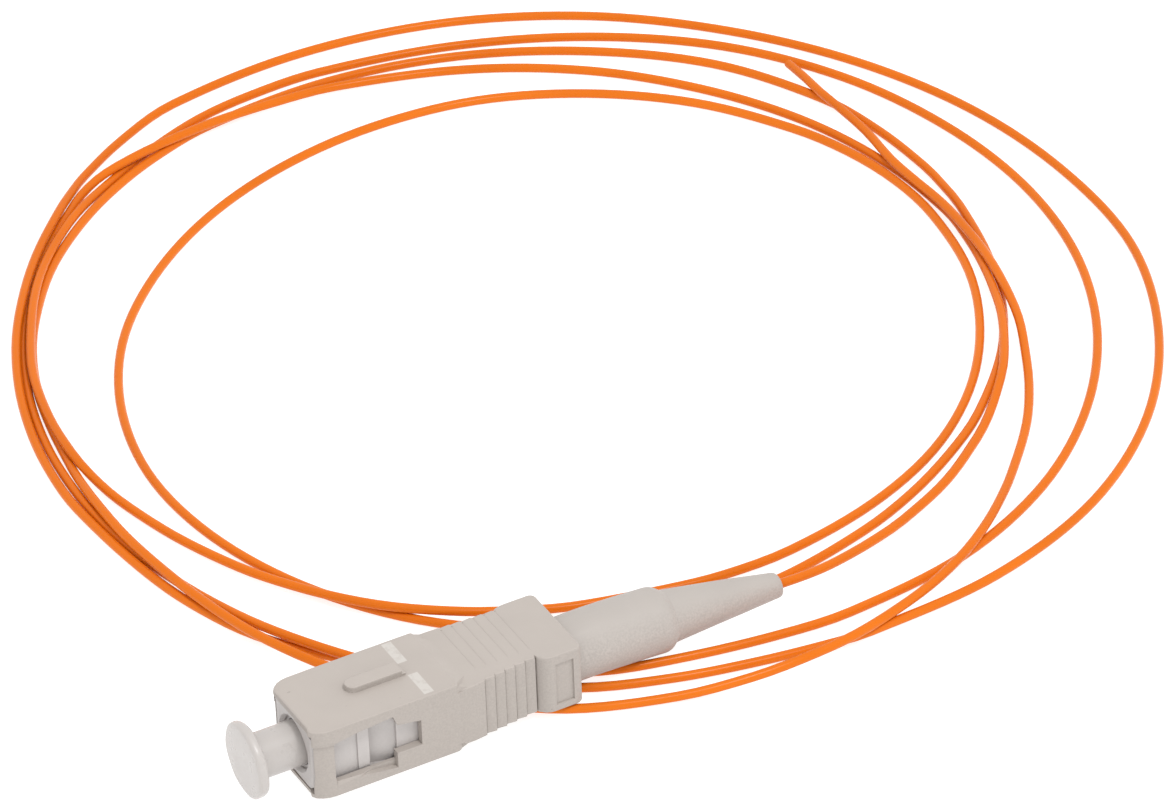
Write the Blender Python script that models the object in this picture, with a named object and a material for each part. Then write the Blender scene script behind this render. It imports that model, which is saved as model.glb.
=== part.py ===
"""Fibre optic pigtail: a square push-pull connector with its dust cap and boot, on a loosely coiled fibre.

The pigtail lies on a level floor at z = 0. The connector points along -X, and its fibre leaves along +X and
lies in five loose turns behind it. Lengths are in metres, and MM turns millimetres into metres.
"""
import math

import bmesh
import bpy

MM = 0.001

# Place of the connector
# The nose plane's x, chosen so that the cap, housing and boot are centred on the origin, and the axis's height
NOSE_X = -21.9 * MM
AXIS_Z = 4.19 * MM

# Clearance between pieces that touch in the real connector, and the room where one slides in another
TOUCH_GAP = 0.3 * MM
SLIDE_GAP = 0.3 * MM

# Outer housing, with x measured from the nose
HOUSING_LENGTH = 26.15 * MM
FRONT_LENGTH = 14.0 * MM
FRONT_WIDTH = 9.0 * MM
FRONT_HEIGHT = 7.4 * MM
REAR_WIDTH = 9.2 * MM
REAR_HEIGHT = 6.2 * MM
NOSE_CORNER = 1.5 * MM
REAR_CORNER = 0.6 * MM
EDGE_ROUNDING = 0.28 * MM
SIDE_WALL = 0.75 * MM
TOP_WALL = 0.55 * MM
REAR_SIDE_WALL = 1.1 * MM
REAR_TOP_WALL = 0.5 * MM
BACK_WALL = 1.35 * MM
CAVITY_LEAD = 0.6 * MM
CAVITY_STEP = FRONT_LENGTH - CAVITY_LEAD

# Grip ribs on the waist of the rear section. Each rises towards the back and ends in a step, and the waist is
# deeper on the near side than on the far one.
WAIST_LEAD = 1.2 * MM
WAIST_BACK_MARGIN = 2.95 * MM
WAIST_START = FRONT_LENGTH + WAIST_LEAD
WAIST_END = HOUSING_LENGTH - WAIST_BACK_MARGIN
NEAR_WAIST_DEPTH = 0.78 * MM
FAR_WAIST_DEPTH = 0.3 * MM
FIRST_RIB_SHARE = 0.15625
RIB_PITCH_SHARE = 0.13375
FIRST_RIB = WAIST_START + FIRST_RIB_SHARE * (WAIST_END - WAIST_START)
RIB_PITCH = RIB_PITCH_SHARE * (WAIST_END - WAIST_START)
RIB_COUNT = 6
NEAR_RIB_DEPTH = 0.22 * MM
FAR_RIB_DEPTH = 0.12 * MM
RIB_FACE = 0.12 * MM

# Side window: places from the nose and heights above the axis
WINDOW_FRONT = 1.6 * MM
WINDOW_BACK = 10.05 * MM
WINDOW_SILL = -2.2 * MM
BLOCK_START = 7.6 * MM
BLOCK_TOP = -1.3 * MM
WINDOW_TOP_FRONT = 2.15 * MM
WINDOW_TOP_MIDDLE = 2.5 * MM
TOP_MIDDLE_PLACE = 3.75 * MM
NOTCH_TOP = 2.8 * MM
NOTCH_PLACE = 7.35 * MM
NOTCH_WIDTH = 0.4 * MM
REAR_TOP_START = 1.75 * MM
REAR_TOP_END = 1.35 * MM

# Slope from the front section down to the lower rear one, over and under
SHOULDER_TOP_LENGTH = 1.5 * MM
SHOULDER_BOTTOM_LENGTH = 1.3 * MM
SHOULDER_INSET = 0.02 * MM
SHOULDER_SINK = 0.1 * MM

# Recessed panel on each side of the rear block
PANEL_BACK_MARGIN = 0.95 * MM
PANEL_LENGTH = 1.8 * MM
PANEL_LOW = -2.35 * MM
PANEL_HIGH = 2.15 * MM
PANEL_DEPTH = 0.2 * MM

# Key on the top of the front section
KEY_START = 5.0 * MM
KEY_END = 10.6 * MM
KEY_WIDTH = 1.6 * MM
KEY_HEIGHT = 0.6 * MM
KEY_ROUNDING = 0.2 * MM

# Plug frame inside the housing
FRAME_FRONT = -0.25 * MM
FRAME_STEP_LEAD = 1.9 * MM
FRAME_STEP = CAVITY_STEP - FRAME_STEP_LEAD
FRAME_END = 19.0 * MM
FRAME_CORNER = 0.45 * MM
SLEEVE_BORE = 4.9 * MM
SLEEVE_DEPTH = 5.6 * MM
BORE_CHAMFER = 0.3 * MM
SHOULDER_BORE = 3.0 * MM
SHOULDER_THICKNESS = 0.5 * MM
REAR_BORE = 4.0 * MM
CATCH_START = 5.3 * MM
CATCH_END = 7.8 * MM
CATCH_DEPTH = 0.7 * MM
CATCH_LOW = -2.1 * MM
CATCH_HIGH = 2.3 * MM
RIDGE_LENGTH = 1.1 * MM
RIDGE_HEIGHT = 0.15 * MM

# Ferrule, its flange and the spring behind it
FERRULE_DIAMETER = 2.5 * MM
FERRULE_TIP = -0.2 * MM
FERRULE_END = 8.15 * MM
TIP_CHAMFER = 0.35 * MM
FLANGE_DIAMETER = 3.5 * MM
FLANGE_LENGTH = 2.6 * MM
FLANGE_STEM_DIAMETER = 2.0 * MM
FLANGE_STEM_END = 12.0 * MM
FLANGE_BORE = 1.1 * MM
FERRULE_SEAT_GAP = 0.05 * MM
SPRING_WIRE = 0.35 * MM
SPRING_MEAN_DIAMETER = 2.9 * MM
SPRING_TURNS = 5

# Stop ring that closes the plug frame and carries the boot
STOP_FRONT = 15.3 * MM
STOP_COLLAR_DIAMETER = 4.4 * MM
STOP_COLLAR_END = 22.0 * MM
STOP_TAIL_DIAMETER = 3.2 * MM
STOP_TAIL_LENGTH = 2.5 * MM
STOP_BORE = 1.7 * MM

# Dust cap
CAP_FRONT = -5.3 * MM
CAP_DISC_DIAMETER = 7.2 * MM
CAP_DISC_THICKNESS = 1.05 * MM
CAP_DISC_ROUNDING = 0.3 * MM
CAP_SHANK_DIAMETER = 4.2 * MM
CAP_BORE = 2.9 * MM
CAP_BORE_DEPTH = 6.2 * MM

# Strain relief boot, whose lengths run from its barrel's start behind the housing
BOOT_GAP = 0.25 * MM
BOOT_LENGTH = 22.7 * MM
BOOT_BARREL_DIAMETER = 6.2 * MM
BOOT_BARREL_LENGTH = 9.6 * MM
BOOT_EDGE_ROUNDING = 0.3 * MM
BOOT_STEP_DIAMETER = 5.0 * MM
BOOT_STEP_LENGTH = 0.8 * MM
BOOT_UPPER_TAPER = 7.8 * MM
BOOT_MIDDLE_DIAMETER = 3.3 * MM
BOOT_TIP_DIAMETER = 2.3 * MM
BOOT_TIP_ROUNDING = 0.5 * MM
BOOT_NECK_DIAMETER = 4.6 * MM
BOOT_BORE = 1.5 * MM
# The boot lies this much below the connector's axis, level for a while, and then its tip sags
BOOT_LOW = 0.15 * MM
BOOT_LEVEL_LENGTH = 2.6 * MM
BOOT_SAG = 1.8 * MM
BOOT_SAG_POWER = 1.35

# Buffered fibre
FIBRE_DIAMETER = 0.9 * MM
FIBRE_IN_BOOT = 5.0 * MM
FIBRE_STATION = 9.0 * MM
COIL_CENTRE = (31.46 * MM, 45.68 * MM)

# The fibre's route from the boot to its bare end, round the coil's centre: heading in degrees from +X, radius
# and height in millimetres. It lies on the floor at 0.45 and rises where it crosses over a strand.
ROUTE = [
    (270, 45.1, 1.75), (275, 44.1, 1.2), (280, 43.3, 0.8), (285, 42.7, 0.55), (295, 41.9, 0.45),
    (305, 41.2, 0.45), (310, 41.0, 0.6), (315, 40.8, 0.95), (320, 40.7, 1.3), (326, 40.4, 1.4),
    (332, 40.2, 1.4), (338, 40.0, 1.2), (345, 40.1, 0.8), (352, 40.4, 0.5), (360, 40.8, 0.45),
    (15, 41.4, 0.45), (30, 42.6, 0.45), (45, 44.2, 0.45), (60, 46.4, 0.45), (75, 48.6, 0.45),
    (90, 50.7, 0.65), (98, 51.5, 0.9), (105, 52.3, 1.25), (110, 53.0, 1.4), (114, 53.8, 1.4),
    (118, 54.6, 1.35), (120.5, 55.2, 1.05), (123, 55.5, 0.6), (126, 55.2, 0.45), (130, 54.8, 0.45),
    (135, 54.4, 0.45), (142, 53.7, 0.45), (150, 53.1, 0.45), (158, 52.6, 0.45), (165, 52.3, 0.45),
    (172, 52.1, 0.45), (180, 52.0, 0.45), (190, 52.1, 0.45), (198, 52.2, 0.5), (204, 52.8, 0.9),
    (209, 53.5, 1.35), (214, 53.8, 1.4), (219, 54.1, 1.35), (224, 54.0, 0.85), (230, 53.8, 0.45),
    (241, 54.3, 0.45), (250, 53.9, 0.45), (258, 53.6, 0.45), (265, 53.7, 0.45), (270, 53.9, 0.45),
    (285, 54.5, 0.45), (300, 55.1, 0.45), (315, 55.2, 0.45), (330, 55.0, 0.45), (345, 54.9, 0.45),
    (360, 54.2, 0.45),
    (15, 54.1, 0.45), (30, 54.4, 0.45), (45, 55.2, 0.45), (60, 56.6, 0.45), (75, 57.7, 0.45),
    (90, 58.3, 0.45), (105, 58.7, 0.45), (113, 58.0, 0.45), (120, 57.1, 0.55), (123, 56.5, 0.8),
    (127, 55.7, 1.2), (135, 54.7, 1.35), (142, 54.1, 1.35), (150, 53.7, 1.3), (158, 53.4, 1.05),
    (165, 53.2, 0.75), (172, 53.1, 0.6), (180, 53.0, 0.5), (195, 53.3, 0.45), (205, 53.9, 0.45),
    (212, 53.9, 0.45), (220, 53.4, 0.45), (230, 52.6, 0.45), (243, 52.0, 0.45), (252, 51.1, 0.45),
    (262, 50.6, 0.45), (270, 50.5, 0.45), (285, 50.3, 0.45), (300, 49.9, 0.45), (315, 49.4, 0.45),
    (330, 49.2, 0.45), (345, 49.3, 0.45), (360, 49.6, 0.45),
    (15, 50.2, 0.45), (30, 51.3, 0.45), (45, 52.3, 0.45), (60, 52.7, 0.45), (75, 53.2, 0.45),
    (90, 54.2, 0.45), (98, 54.6, 0.45), (105, 54.8, 0.45), (113, 54.5, 0.45), (120, 54.3, 0.5),
    (127, 54.1, 0.9), (135, 53.6, 1.1), (142, 53.0, 1.35), (150, 52.3, 1.4), (157, 51.9, 1.4),
    (165, 51.2, 1.4), (172, 50.6, 1.4), (176, 50.0, 0.95), (181, 49.1, 0.5), (190, 47.9, 0.45),
    (200, 47.1, 0.65), (207, 46.7, 0.9), (214, 46.5, 1.25), (220, 46.1, 1.4), (226, 44.9, 1.05),
    (231, 43.8, 0.7), (240, 42.4, 0.45), (252, 40.9, 0.45), (260, 40.4, 0.45), (270, 39.7, 0.45),
    (285, 38.8, 0.45), (300, 38.4, 0.45), (315, 38.1, 0.45), (330, 38.1, 0.45), (345, 38.6, 0.45),
    (360, 39.3, 0.45),
    (10, 39.9, 0.45), (20, 40.4, 0.45), (30, 40.8, 0.45), (45, 41.6, 0.45), (60, 42.2, 0.45),
    (75, 42.7, 0.45), (90, 42.5, 0.45), (105, 42.3, 0.45), (120, 42.4, 0.45), (135, 42.8, 0.45),
    (150, 43.6, 0.45), (165, 44.3, 0.45), (180, 45.0, 0.45), (195, 45.4, 0.45), (210, 45.8, 0.45),
    (225, 46.1, 0.45), (240, 45.6, 0.45), (255, 44.2, 0.45), (266, 43.0, 0.45), (280, 41.3, 0.45),
    (290, 40.5, 0.45), (300, 40.0, 0.45), (310, 39.9, 0.45), (325, 40.2, 0.45), (337, 40.6, 0.45),
    (348, 41.2, 0.45), (360, 42.4, 0.45),
    (5, 43.0, 0.45), (10, 43.7, 0.45), (20, 45.2, 0.45), (30, 46.9, 0.45), (45, 48.9, 0.45),
    (60, 50.0, 0.45), (75, 51.2, 0.45), (90, 52.2, 0.45), (105, 53.1, 0.45), (113, 53.3, 0.45),
    (120, 53.3, 0.45), (127, 53.2, 0.45), (135, 53.0, 0.45), (142, 52.6, 0.45), (150, 52.2, 0.45),
    (158, 51.7, 0.45), (165, 51.2, 0.45), (172, 51.0, 0.5), (176, 51.2, 0.85), (181, 51.5, 1.3),
    (188, 52.0, 1.4), (195, 52.6, 1.4), (202, 53.6, 1.4), (209, 54.8, 1.4), (216, 55.8, 1.25),
    (223, 56.4, 0.8), (226.5, 56.6, 0.5), (230, 56.7, 0.45), (240, 57.3, 0.45), (250, 56.7, 0.55),
    (257, 56.3, 1.05), (262, 55.8, 1.4), (268, 54.7, 1.4), (275, 53.1, 1.35), (280, 52.0, 1.35),
    (285, 50.8, 1.4), (290, 49.4, 1.3), (295, 47.9, 0.9), (300, 46.6, 0.6), (310, 44.7, 0.45),
    (318, 43.4, 0.5), (325, 42.4, 0.85), (331, 41.8, 1.3), (338, 41.0, 1.65), (345, 40.5, 1.75),
    (352, 40.3, 1.6), (360, 40.4, 1.45),
    (8, 40.6, 1.4), (13, 41.2, 1.4), (20, 43.2, 1.4), (26, 45.1, 1.4), (30, 46.6, 1.4),
    (33, 48.3, 1.25), (36.5, 50.6, 0.9),
]

# Colours as linear red, green and blue
BEIGE = (0.58, 0.52, 0.45)
WHITE_FRAME = (0.62, 0.61, 0.58)
WHITE_CAP = (0.68, 0.65, 0.62)
BOOT_BEIGE = (0.62, 0.56, 0.52)
ORANGE = (0.88, 0.19, 0.02)
ZIRCONIA = (0.8, 0.79, 0.76)
STEEL = (0.55, 0.55, 0.56)
NICKEL = (0.62, 0.6, 0.56)

FINE_SIDES = 40
SMALL_SIDES = 28


def clear_scene():
    for obj in list(bpy.data.objects):
        bpy.data.objects.remove(obj, do_unlink=True)


def make_collection(name):
    collection = bpy.data.collections.new(name)
    bpy.context.scene.collection.children.link(collection)
    return collection


def make_material(name, colour, roughness, metallic=0.0):
    material = bpy.data.materials.new(name)
    material.use_nodes = True
    shader = material.node_tree.nodes["Principled BSDF"]
    shader.inputs["Base Color"].default_value = (*colour, 1.0)
    shader.inputs["Roughness"].default_value = roughness
    shader.inputs["Metallic"].default_value = metallic
    return material


def mesh_object(name, verts, faces, collection, material=None, smooth=False):
    """A mesh object whose faces all point outwards."""
    mesh = bpy.data.meshes.new(name)
    mesh.from_pydata(verts, [], faces)
    shape = bmesh.new()
    shape.from_mesh(mesh)
    bmesh.ops.recalc_face_normals(shape, faces=shape.faces)
    shape.to_mesh(mesh)
    shape.free()
    obj = bpy.data.objects.new(name, mesh)
    collection.objects.link(obj)
    if material:
        mesh.materials.append(material)
    if smooth:
        mesh.shade_smooth()
        mesh.set_sharp_from_angle(angle=math.radians(35))
    return obj


def stacked_rings(rings, closed=False):
    """Vertices and faces of a skin over rings of equal length. The ends are capped unless the skin is closed."""
    count = len(rings[0])
    verts = [point for ring in rings for point in ring]
    faces = []
    spans = len(rings) if closed else len(rings) - 1
    for index in range(spans):
        here = index * count
        there = ((index + 1) % len(rings)) * count
        for step in range(count):
            after = (step + 1) % count
            faces.append((here + step, here + after, there + after, there + step))
    if not closed:
        faces.append(tuple(range(count)))
        faces.append(tuple(range((len(rings) - 1) * count, len(rings) * count)))
    return verts, faces


def turned(name, profile, sides, collection, material=None, closed=False, axis_drop=None):
    """A solid turned about the connector's axis from (x from the nose, radius) points.

    A closed profile makes a ring. An open one starts or ends on the axis or in a flat face.
    axis_drop gives how far the axis lies below the connector's at an x.
    """
    rings = []
    for x, radius in profile:
        drop = axis_drop(x) if axis_drop else 0.0
        ring = []
        for step in range(sides):
            angle = 2 * math.pi * step / sides
            y = radius * math.cos(angle)
            z = AXIS_Z - drop + radius * math.sin(angle)
            ring.append((NOSE_X + x, y, z))
        rings.append(ring)
    verts, faces = stacked_rings(rings, closed)
    return mesh_object(name, verts, faces, collection, material, smooth=material is not None)


def slab(name, outline, low, high, rounding, collection, material=None):
    """A plan outline of (x, y) points raised between two heights above the axis, with its edges rounded."""
    middle = sum(x for x, _ in outline) / len(outline)
    reach_x = max(abs(x - middle) for x, _ in outline)
    reach_y = max(abs(y) for _, y in outline)
    levels = [(low, rounding), (high, rounding)]
    if rounding:
        levels = []
        for end, inwards in ((low, 1), (high, -1)):
            turns = (0, 45, 90) if inwards > 0 else (90, 45, 0)
            for turn in turns:
                inset = rounding * (1 - math.sin(math.radians(turn)))
                height = end + inwards * rounding * (1 - math.cos(math.radians(turn)))
                levels.append((height, inset))
    rings = []
    for height, inset in levels:
        scale_x = 1 - inset / reach_x
        scale_y = 1 - inset / reach_y
        ring = [(NOSE_X + middle + (x - middle) * scale_x, y * scale_y, AXIS_Z + height) for x, y in outline]
        rings.append(ring)
    verts, faces = stacked_rings(rings)
    return mesh_object(name, verts, faces, collection, material)


def side_prism(name, outline, near, far, collection):
    """A side outline of (x, height above the axis) points that runs across from y = near to y = far."""
    rings = []
    for y in (near, far):
        rings.append([(NOSE_X + x, y, AXIS_Z + z) for x, z in outline])
    verts, faces = stacked_rings(rings)
    return mesh_object(name, verts, faces, collection)


def box(name, x_range, y_range, z_range, collection):
    """A plain box, with its heights measured from the axis."""
    outline = [
        (x_range[0], z_range[0]),
        (x_range[1], z_range[0]),
        (x_range[1], z_range[1]),
        (x_range[0], z_range[1]),
    ]
    return side_prism(name, outline, y_range[0], y_range[1], collection)


def combine(target, helper, operation):
    """Cuts a helper out of the target or adds it, and hides the helper."""
    modifier = target.modifiers.new(helper.name, "BOOLEAN")
    modifier.operation = operation
    modifier.solver = "EXACT"
    modifier.object = helper
    helper.hide_render = True
    helper.display_type = "WIRE"


def mirrored(side):
    """A closed plan outline from the points of its +Y side, given from front to back."""
    return side + [(x, -y) for x, y in reversed(side)]


def corner(centre_x, centre_y, radius, first_turn, last_turn, steps=5):
    """Points of a rounded plan corner on the +Y side, with turns in degrees from +X."""
    points = []
    for step in range(steps + 1):
        turn = math.radians(first_turn + (last_turn - first_turn) * step / steps)
        points.append((centre_x + radius * math.cos(turn), centre_y + radius * math.sin(turn)))
    return points


def front_outline():
    half = FRONT_WIDTH / 2
    step_corner = 0.3 * MM
    side = corner(NOSE_CORNER, half - NOSE_CORNER, NOSE_CORNER, 180, 90)
    side += corner(FRONT_LENGTH - step_corner, half - step_corner, step_corner, 90, 0, steps=2)
    return mirrored(side)


def rear_side(waist_depth, rib_depth):
    """One side of the rear section in plan, from front to back, with half widths as y."""
    half = REAR_WIDTH / 2
    inner = half - 0.5 * MM
    side = [
        (FRONT_LENGTH - 1.5 * MM, inner),
        (FRONT_LENGTH - 0.25 * MM, inner),
        (FRONT_LENGTH + 0.25 * MM, half),
        (WAIST_START, half),
    ]
    last_rib = FIRST_RIB + (RIB_COUNT - 1) * RIB_PITCH
    for index in range(RIB_COUNT):
        ridge_x = FIRST_RIB + index * RIB_PITCH
        ridge = half - waist_depth * (ridge_x - WAIST_START) / (last_rib - WAIST_START)
        side.append((ridge_x, ridge))
        side.append((ridge_x + RIB_FACE, ridge - rib_depth))
    valley_x, valley = side[-1]
    for share, rise in ((0.15, 0.4), (0.45, 0.78), (0.75, 0.95), (1.0, 1.0)):
        side.append((valley_x + share * (WAIST_END - valley_x), valley + rise * (half - valley)))
    return side + corner(HOUSING_LENGTH - REAR_CORNER, half - REAR_CORNER, REAR_CORNER, 90, 0)


def rear_outline():
    """The rear section in plan: it starts inside the front one, and has a ribbed waist and round back corners."""
    far = rear_side(FAR_WAIST_DEPTH, FAR_RIB_DEPTH)
    near = rear_side(NEAR_WAIST_DEPTH, NEAR_RIB_DEPTH)
    return far + [(x, -y) for x, y in reversed(near)]


def shoulder_rings():
    """The slope on top from the front section down to the rear one, as a plan outline at its foot and its top."""
    front_edge = FRONT_LENGTH - EDGE_ROUNDING
    foot_y = REAR_WIDTH / 2 - EDGE_ROUNDING
    top_y = FRONT_WIDTH / 2 - EDGE_ROUNDING
    foot = [
        (CAVITY_STEP, top_y),
        (FRONT_LENGTH + 0.2 * SHOULDER_TOP_LENGTH, foot_y),
        (FRONT_LENGTH + SHOULDER_TOP_LENGTH, 0.6 * foot_y),
    ]
    top = [
        (CAVITY_STEP, top_y),
        (front_edge, top_y),
        (front_edge + SHOULDER_INSET, 0.95 * top_y),
    ]
    rings = []
    for outline, height in ((foot, REAR_HEIGHT / 2 - SHOULDER_SINK), (top, FRONT_HEIGHT / 2 - SHOULDER_INSET)):
        rings.append([(NOSE_X + x, y, AXIS_Z + height) for x, y in mirrored(outline)])
    return rings


def key_outline():
    half = KEY_WIDTH / 2
    side = corner(KEY_START + half, 0.0, half, 170, 90)
    side.append((KEY_END, half))
    return mirrored(side)


def window_outline():
    """The side window from the front of its sill round to the front of its top edge."""
    return [
        (WINDOW_FRONT, WINDOW_SILL),
        (BLOCK_START, WINDOW_SILL),
        (BLOCK_START, BLOCK_TOP),
        (WINDOW_BACK, BLOCK_TOP),
        (WINDOW_BACK, REAR_TOP_END),
        (NOTCH_PLACE + NOTCH_WIDTH, REAR_TOP_START),
        (NOTCH_PLACE, NOTCH_TOP),
        (TOP_MIDDLE_PLACE, WINDOW_TOP_MIDDLE),
        (WINDOW_FRONT, WINDOW_TOP_FRONT),
    ]


def make_housing(parts, helpers, material):
    housing = slab(
        "outer_housing", front_outline(), -FRONT_HEIGHT / 2, FRONT_HEIGHT / 2, EDGE_ROUNDING, parts, material
    )
    rear = slab("rear_section", rear_outline(), -REAR_HEIGHT / 2, REAR_HEIGHT / 2, EDGE_ROUNDING, helpers)
    combine(housing, rear, "UNION")
    verts, faces = stacked_rings(shoulder_rings())
    combine(housing, mesh_object("top_shoulder", verts, faces, helpers), "UNION")
    low_start = REAR_HEIGHT / 2 - REAR_TOP_WALL
    lower_outline = [
        (CAVITY_STEP, -low_start),
        (FRONT_LENGTH - EDGE_ROUNDING, SHOULDER_INSET - FRONT_HEIGHT / 2),
        (FRONT_LENGTH + SHOULDER_BOTTOM_LENGTH, SHOULDER_SINK - REAR_HEIGHT / 2),
        (FRONT_LENGTH + SHOULDER_BOTTOM_LENGTH, -low_start),
    ]
    shoulder_y = FRONT_WIDTH / 2 - EDGE_ROUNDING
    lower_shoulder = side_prism("lower_shoulder", lower_outline, -shoulder_y, shoulder_y, helpers)
    combine(housing, lower_shoulder, "UNION")
    key_root = FRONT_HEIGHT / 2 - TOP_WALL / 2
    key = slab("key", key_outline(), key_root, FRONT_HEIGHT / 2 + KEY_HEIGHT, KEY_ROUNDING, helpers)
    combine(housing, key, "UNION")

    cavity_y = FRONT_WIDTH / 2 - SIDE_WALL
    cavity_z = FRONT_HEIGHT / 2 - TOP_WALL
    front_cavity = box(
        "front_cavity", (-1 * MM, CAVITY_STEP), (-cavity_y, cavity_y), (-cavity_z, cavity_z), helpers
    )
    combine(housing, front_cavity, "DIFFERENCE")
    rear_y = REAR_WIDTH / 2 - REAR_SIDE_WALL
    rear_z = REAR_HEIGHT / 2 - REAR_TOP_WALL
    rear_cavity = box(
        "rear_cavity",
        (CAVITY_STEP - 1 * MM, HOUSING_LENGTH - BACK_WALL),
        (-rear_y, rear_y),
        (-rear_z, rear_z),
        helpers,
    )
    combine(housing, rear_cavity, "DIFFERENCE")
    hole_radius = BOOT_NECK_DIAMETER / 2 + SLIDE_GAP + BOOT_LOW / 2
    hole = turned(
        "back_hole",
        [(HOUSING_LENGTH - BACK_WALL - 1 * MM, hole_radius), (HOUSING_LENGTH + 1 * MM, hole_radius)],
        SMALL_SIDES,
        helpers,
    )
    combine(housing, hole, "DIFFERENCE")

    window = side_prism("side_windows", window_outline(), -FRONT_WIDTH, FRONT_WIDTH, helpers)
    combine(housing, window, "DIFFERENCE")
    panel_y = REAR_WIDTH / 2 - PANEL_DEPTH
    panel_end = HOUSING_LENGTH - PANEL_BACK_MARGIN
    for name, near, far in (("near_panel", -REAR_WIDTH, -panel_y), ("far_panel", panel_y, REAR_WIDTH)):
        panel = box(name, (panel_end - PANEL_LENGTH, panel_end), (near, far), (PANEL_LOW, PANEL_HIGH), helpers)
        combine(housing, panel, "DIFFERENCE")
    return housing


def make_plug_frame(parts, helpers, material):
    """The inner frame that fits in the housing: a sleeve at the front, a shoulder and a bore for the spring."""
    front_y = FRONT_WIDTH / 2 - SIDE_WALL - SLIDE_GAP
    front_z = FRONT_HEIGHT / 2 - TOP_WALL - SLIDE_GAP
    rear_y = REAR_WIDTH / 2 - REAR_SIDE_WALL - SLIDE_GAP
    rear_z = REAR_HEIGHT / 2 - REAR_TOP_WALL - SLIDE_GAP
    outline = mirrored(
        corner(FRAME_FRONT + FRAME_CORNER, front_y - FRAME_CORNER, FRAME_CORNER, 180, 90, steps=3)
        + [(FRAME_STEP, front_y)]
    )
    frame = slab("plug_frame", outline, -front_z, front_z, 0.0, parts, material)
    rear = box(
        "frame_rear", (FRAME_STEP - 1 * MM, FRAME_END), (-rear_y, rear_y), (-rear_z, rear_z), helpers
    )
    combine(frame, rear, "UNION")
    ridge_y = front_y + RIDGE_HEIGHT
    ridge_range = (CATCH_START - RIDGE_LENGTH, CATCH_START)
    for name, near, far in (("near_ridge", -ridge_y, -front_y + CATCH_DEPTH / 2),
                            ("far_ridge", front_y - CATCH_DEPTH / 2, ridge_y)):
        ridge = box(name, ridge_range, (near, far), (CATCH_LOW, CATCH_HIGH), helpers)
        combine(frame, ridge, "UNION")
    sleeve = SLEEVE_BORE / 2
    shoulder = SHOULDER_BORE / 2
    rear_bore = REAR_BORE / 2
    shoulder_back = SLEEVE_DEPTH + SHOULDER_THICKNESS
    bore = turned(
        "frame_bore",
        [
            (FRAME_FRONT - 1 * MM, sleeve + BORE_CHAMFER),
            (FRAME_FRONT, sleeve + BORE_CHAMFER),
            (FRAME_FRONT + BORE_CHAMFER, sleeve),
            (SLEEVE_DEPTH, sleeve),
            (SLEEVE_DEPTH, shoulder),
            (shoulder_back, shoulder),
            (shoulder_back, rear_bore),
            (FRAME_END + 1 * MM, rear_bore),
        ],
        FINE_SIDES,
        helpers,
    )
    combine(frame, bore, "DIFFERENCE")
    for name, side in (("near_catch", -1), ("far_catch", 1)):
        rings = []
        for z in (CATCH_LOW, CATCH_HIGH):
            ring = []
            for x, y in ((CATCH_START, 1.5 * front_y), (CATCH_START, front_y - CATCH_DEPTH), (CATCH_END, front_y),
                         (CATCH_END, 1.5 * front_y)):
                ring.append((NOSE_X + x, side * y, AXIS_Z + z))
            rings.append(ring)
        verts, faces = stacked_rings(rings)
        catch = mesh_object(name, verts, faces, helpers)
        combine(frame, catch, "DIFFERENCE")
    return frame


def make_ferrule(parts, material):
    radius = FERRULE_DIAMETER / 2
    profile = [
        (FERRULE_TIP, 0.4 * radius),
        (FERRULE_TIP + 0.05 * MM, radius - TIP_CHAMFER),
        (FERRULE_TIP + TIP_CHAMFER, radius),
        (FERRULE_END, radius),
    ]
    return turned("ferrule", profile, SMALL_SIDES, parts, material)


def make_flange(parts, material):
    """The metal flange pressed on the ferrule's back end, with a stem that the spring goes over."""
    front = SLEEVE_DEPTH + SHOULDER_THICKNESS + TOUCH_GAP
    back = front + FLANGE_LENGTH
    seat = FERRULE_DIAMETER / 2 + FERRULE_SEAT_GAP
    seat_end = FERRULE_END + 0.15 * MM
    profile = [
        (front, seat),
        (front, FLANGE_DIAMETER / 2),
        (back, FLANGE_DIAMETER / 2),
        (back, FLANGE_STEM_DIAMETER / 2),
        (FLANGE_STEM_END, FLANGE_STEM_DIAMETER / 2),
        (FLANGE_STEM_END, FLANGE_BORE / 2),
        (seat_end, FLANGE_BORE / 2),
        (seat_end, seat),
    ]
    return turned("ferrule_flange", profile, SMALL_SIDES, parts, material, closed=True)


def poly_tube(name, points, diameter, parts, material):
    curve = bpy.data.curves.new(name, "CURVE")
    curve.dimensions = "3D"
    curve.bevel_depth = diameter / 2
    curve.bevel_resolution = 2
    curve.use_fill_caps = True
    spline = curve.splines.new("POLY")
    spline.points.add(len(points) - 1)
    for slot, point in zip(spline.points, points):
        slot.co = (*point, 1.0)
    spline.use_smooth = True
    curve.materials.append(material)
    obj = bpy.data.objects.new(name, curve)
    parts.objects.link(obj)
    return obj


def make_spring(parts, material):
    start = SLEEVE_DEPTH + SHOULDER_THICKNESS + TOUCH_GAP + FLANGE_LENGTH + TOUCH_GAP + SPRING_WIRE / 2
    end = STOP_FRONT - TOUCH_GAP - SPRING_WIRE / 2
    steps = SPRING_TURNS * 14
    points = []
    for step in range(steps + 1):
        part = step / steps
        angle = 2 * math.pi * SPRING_TURNS * part
        y = SPRING_MEAN_DIAMETER / 2 * math.cos(angle)
        z = SPRING_MEAN_DIAMETER / 2 * math.sin(angle)
        points.append((NOSE_X + start + (end - start) * part, y, AXIS_Z + z))
    return poly_tube("ferrule_spring", points, SPRING_WIRE, parts, material)


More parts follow.
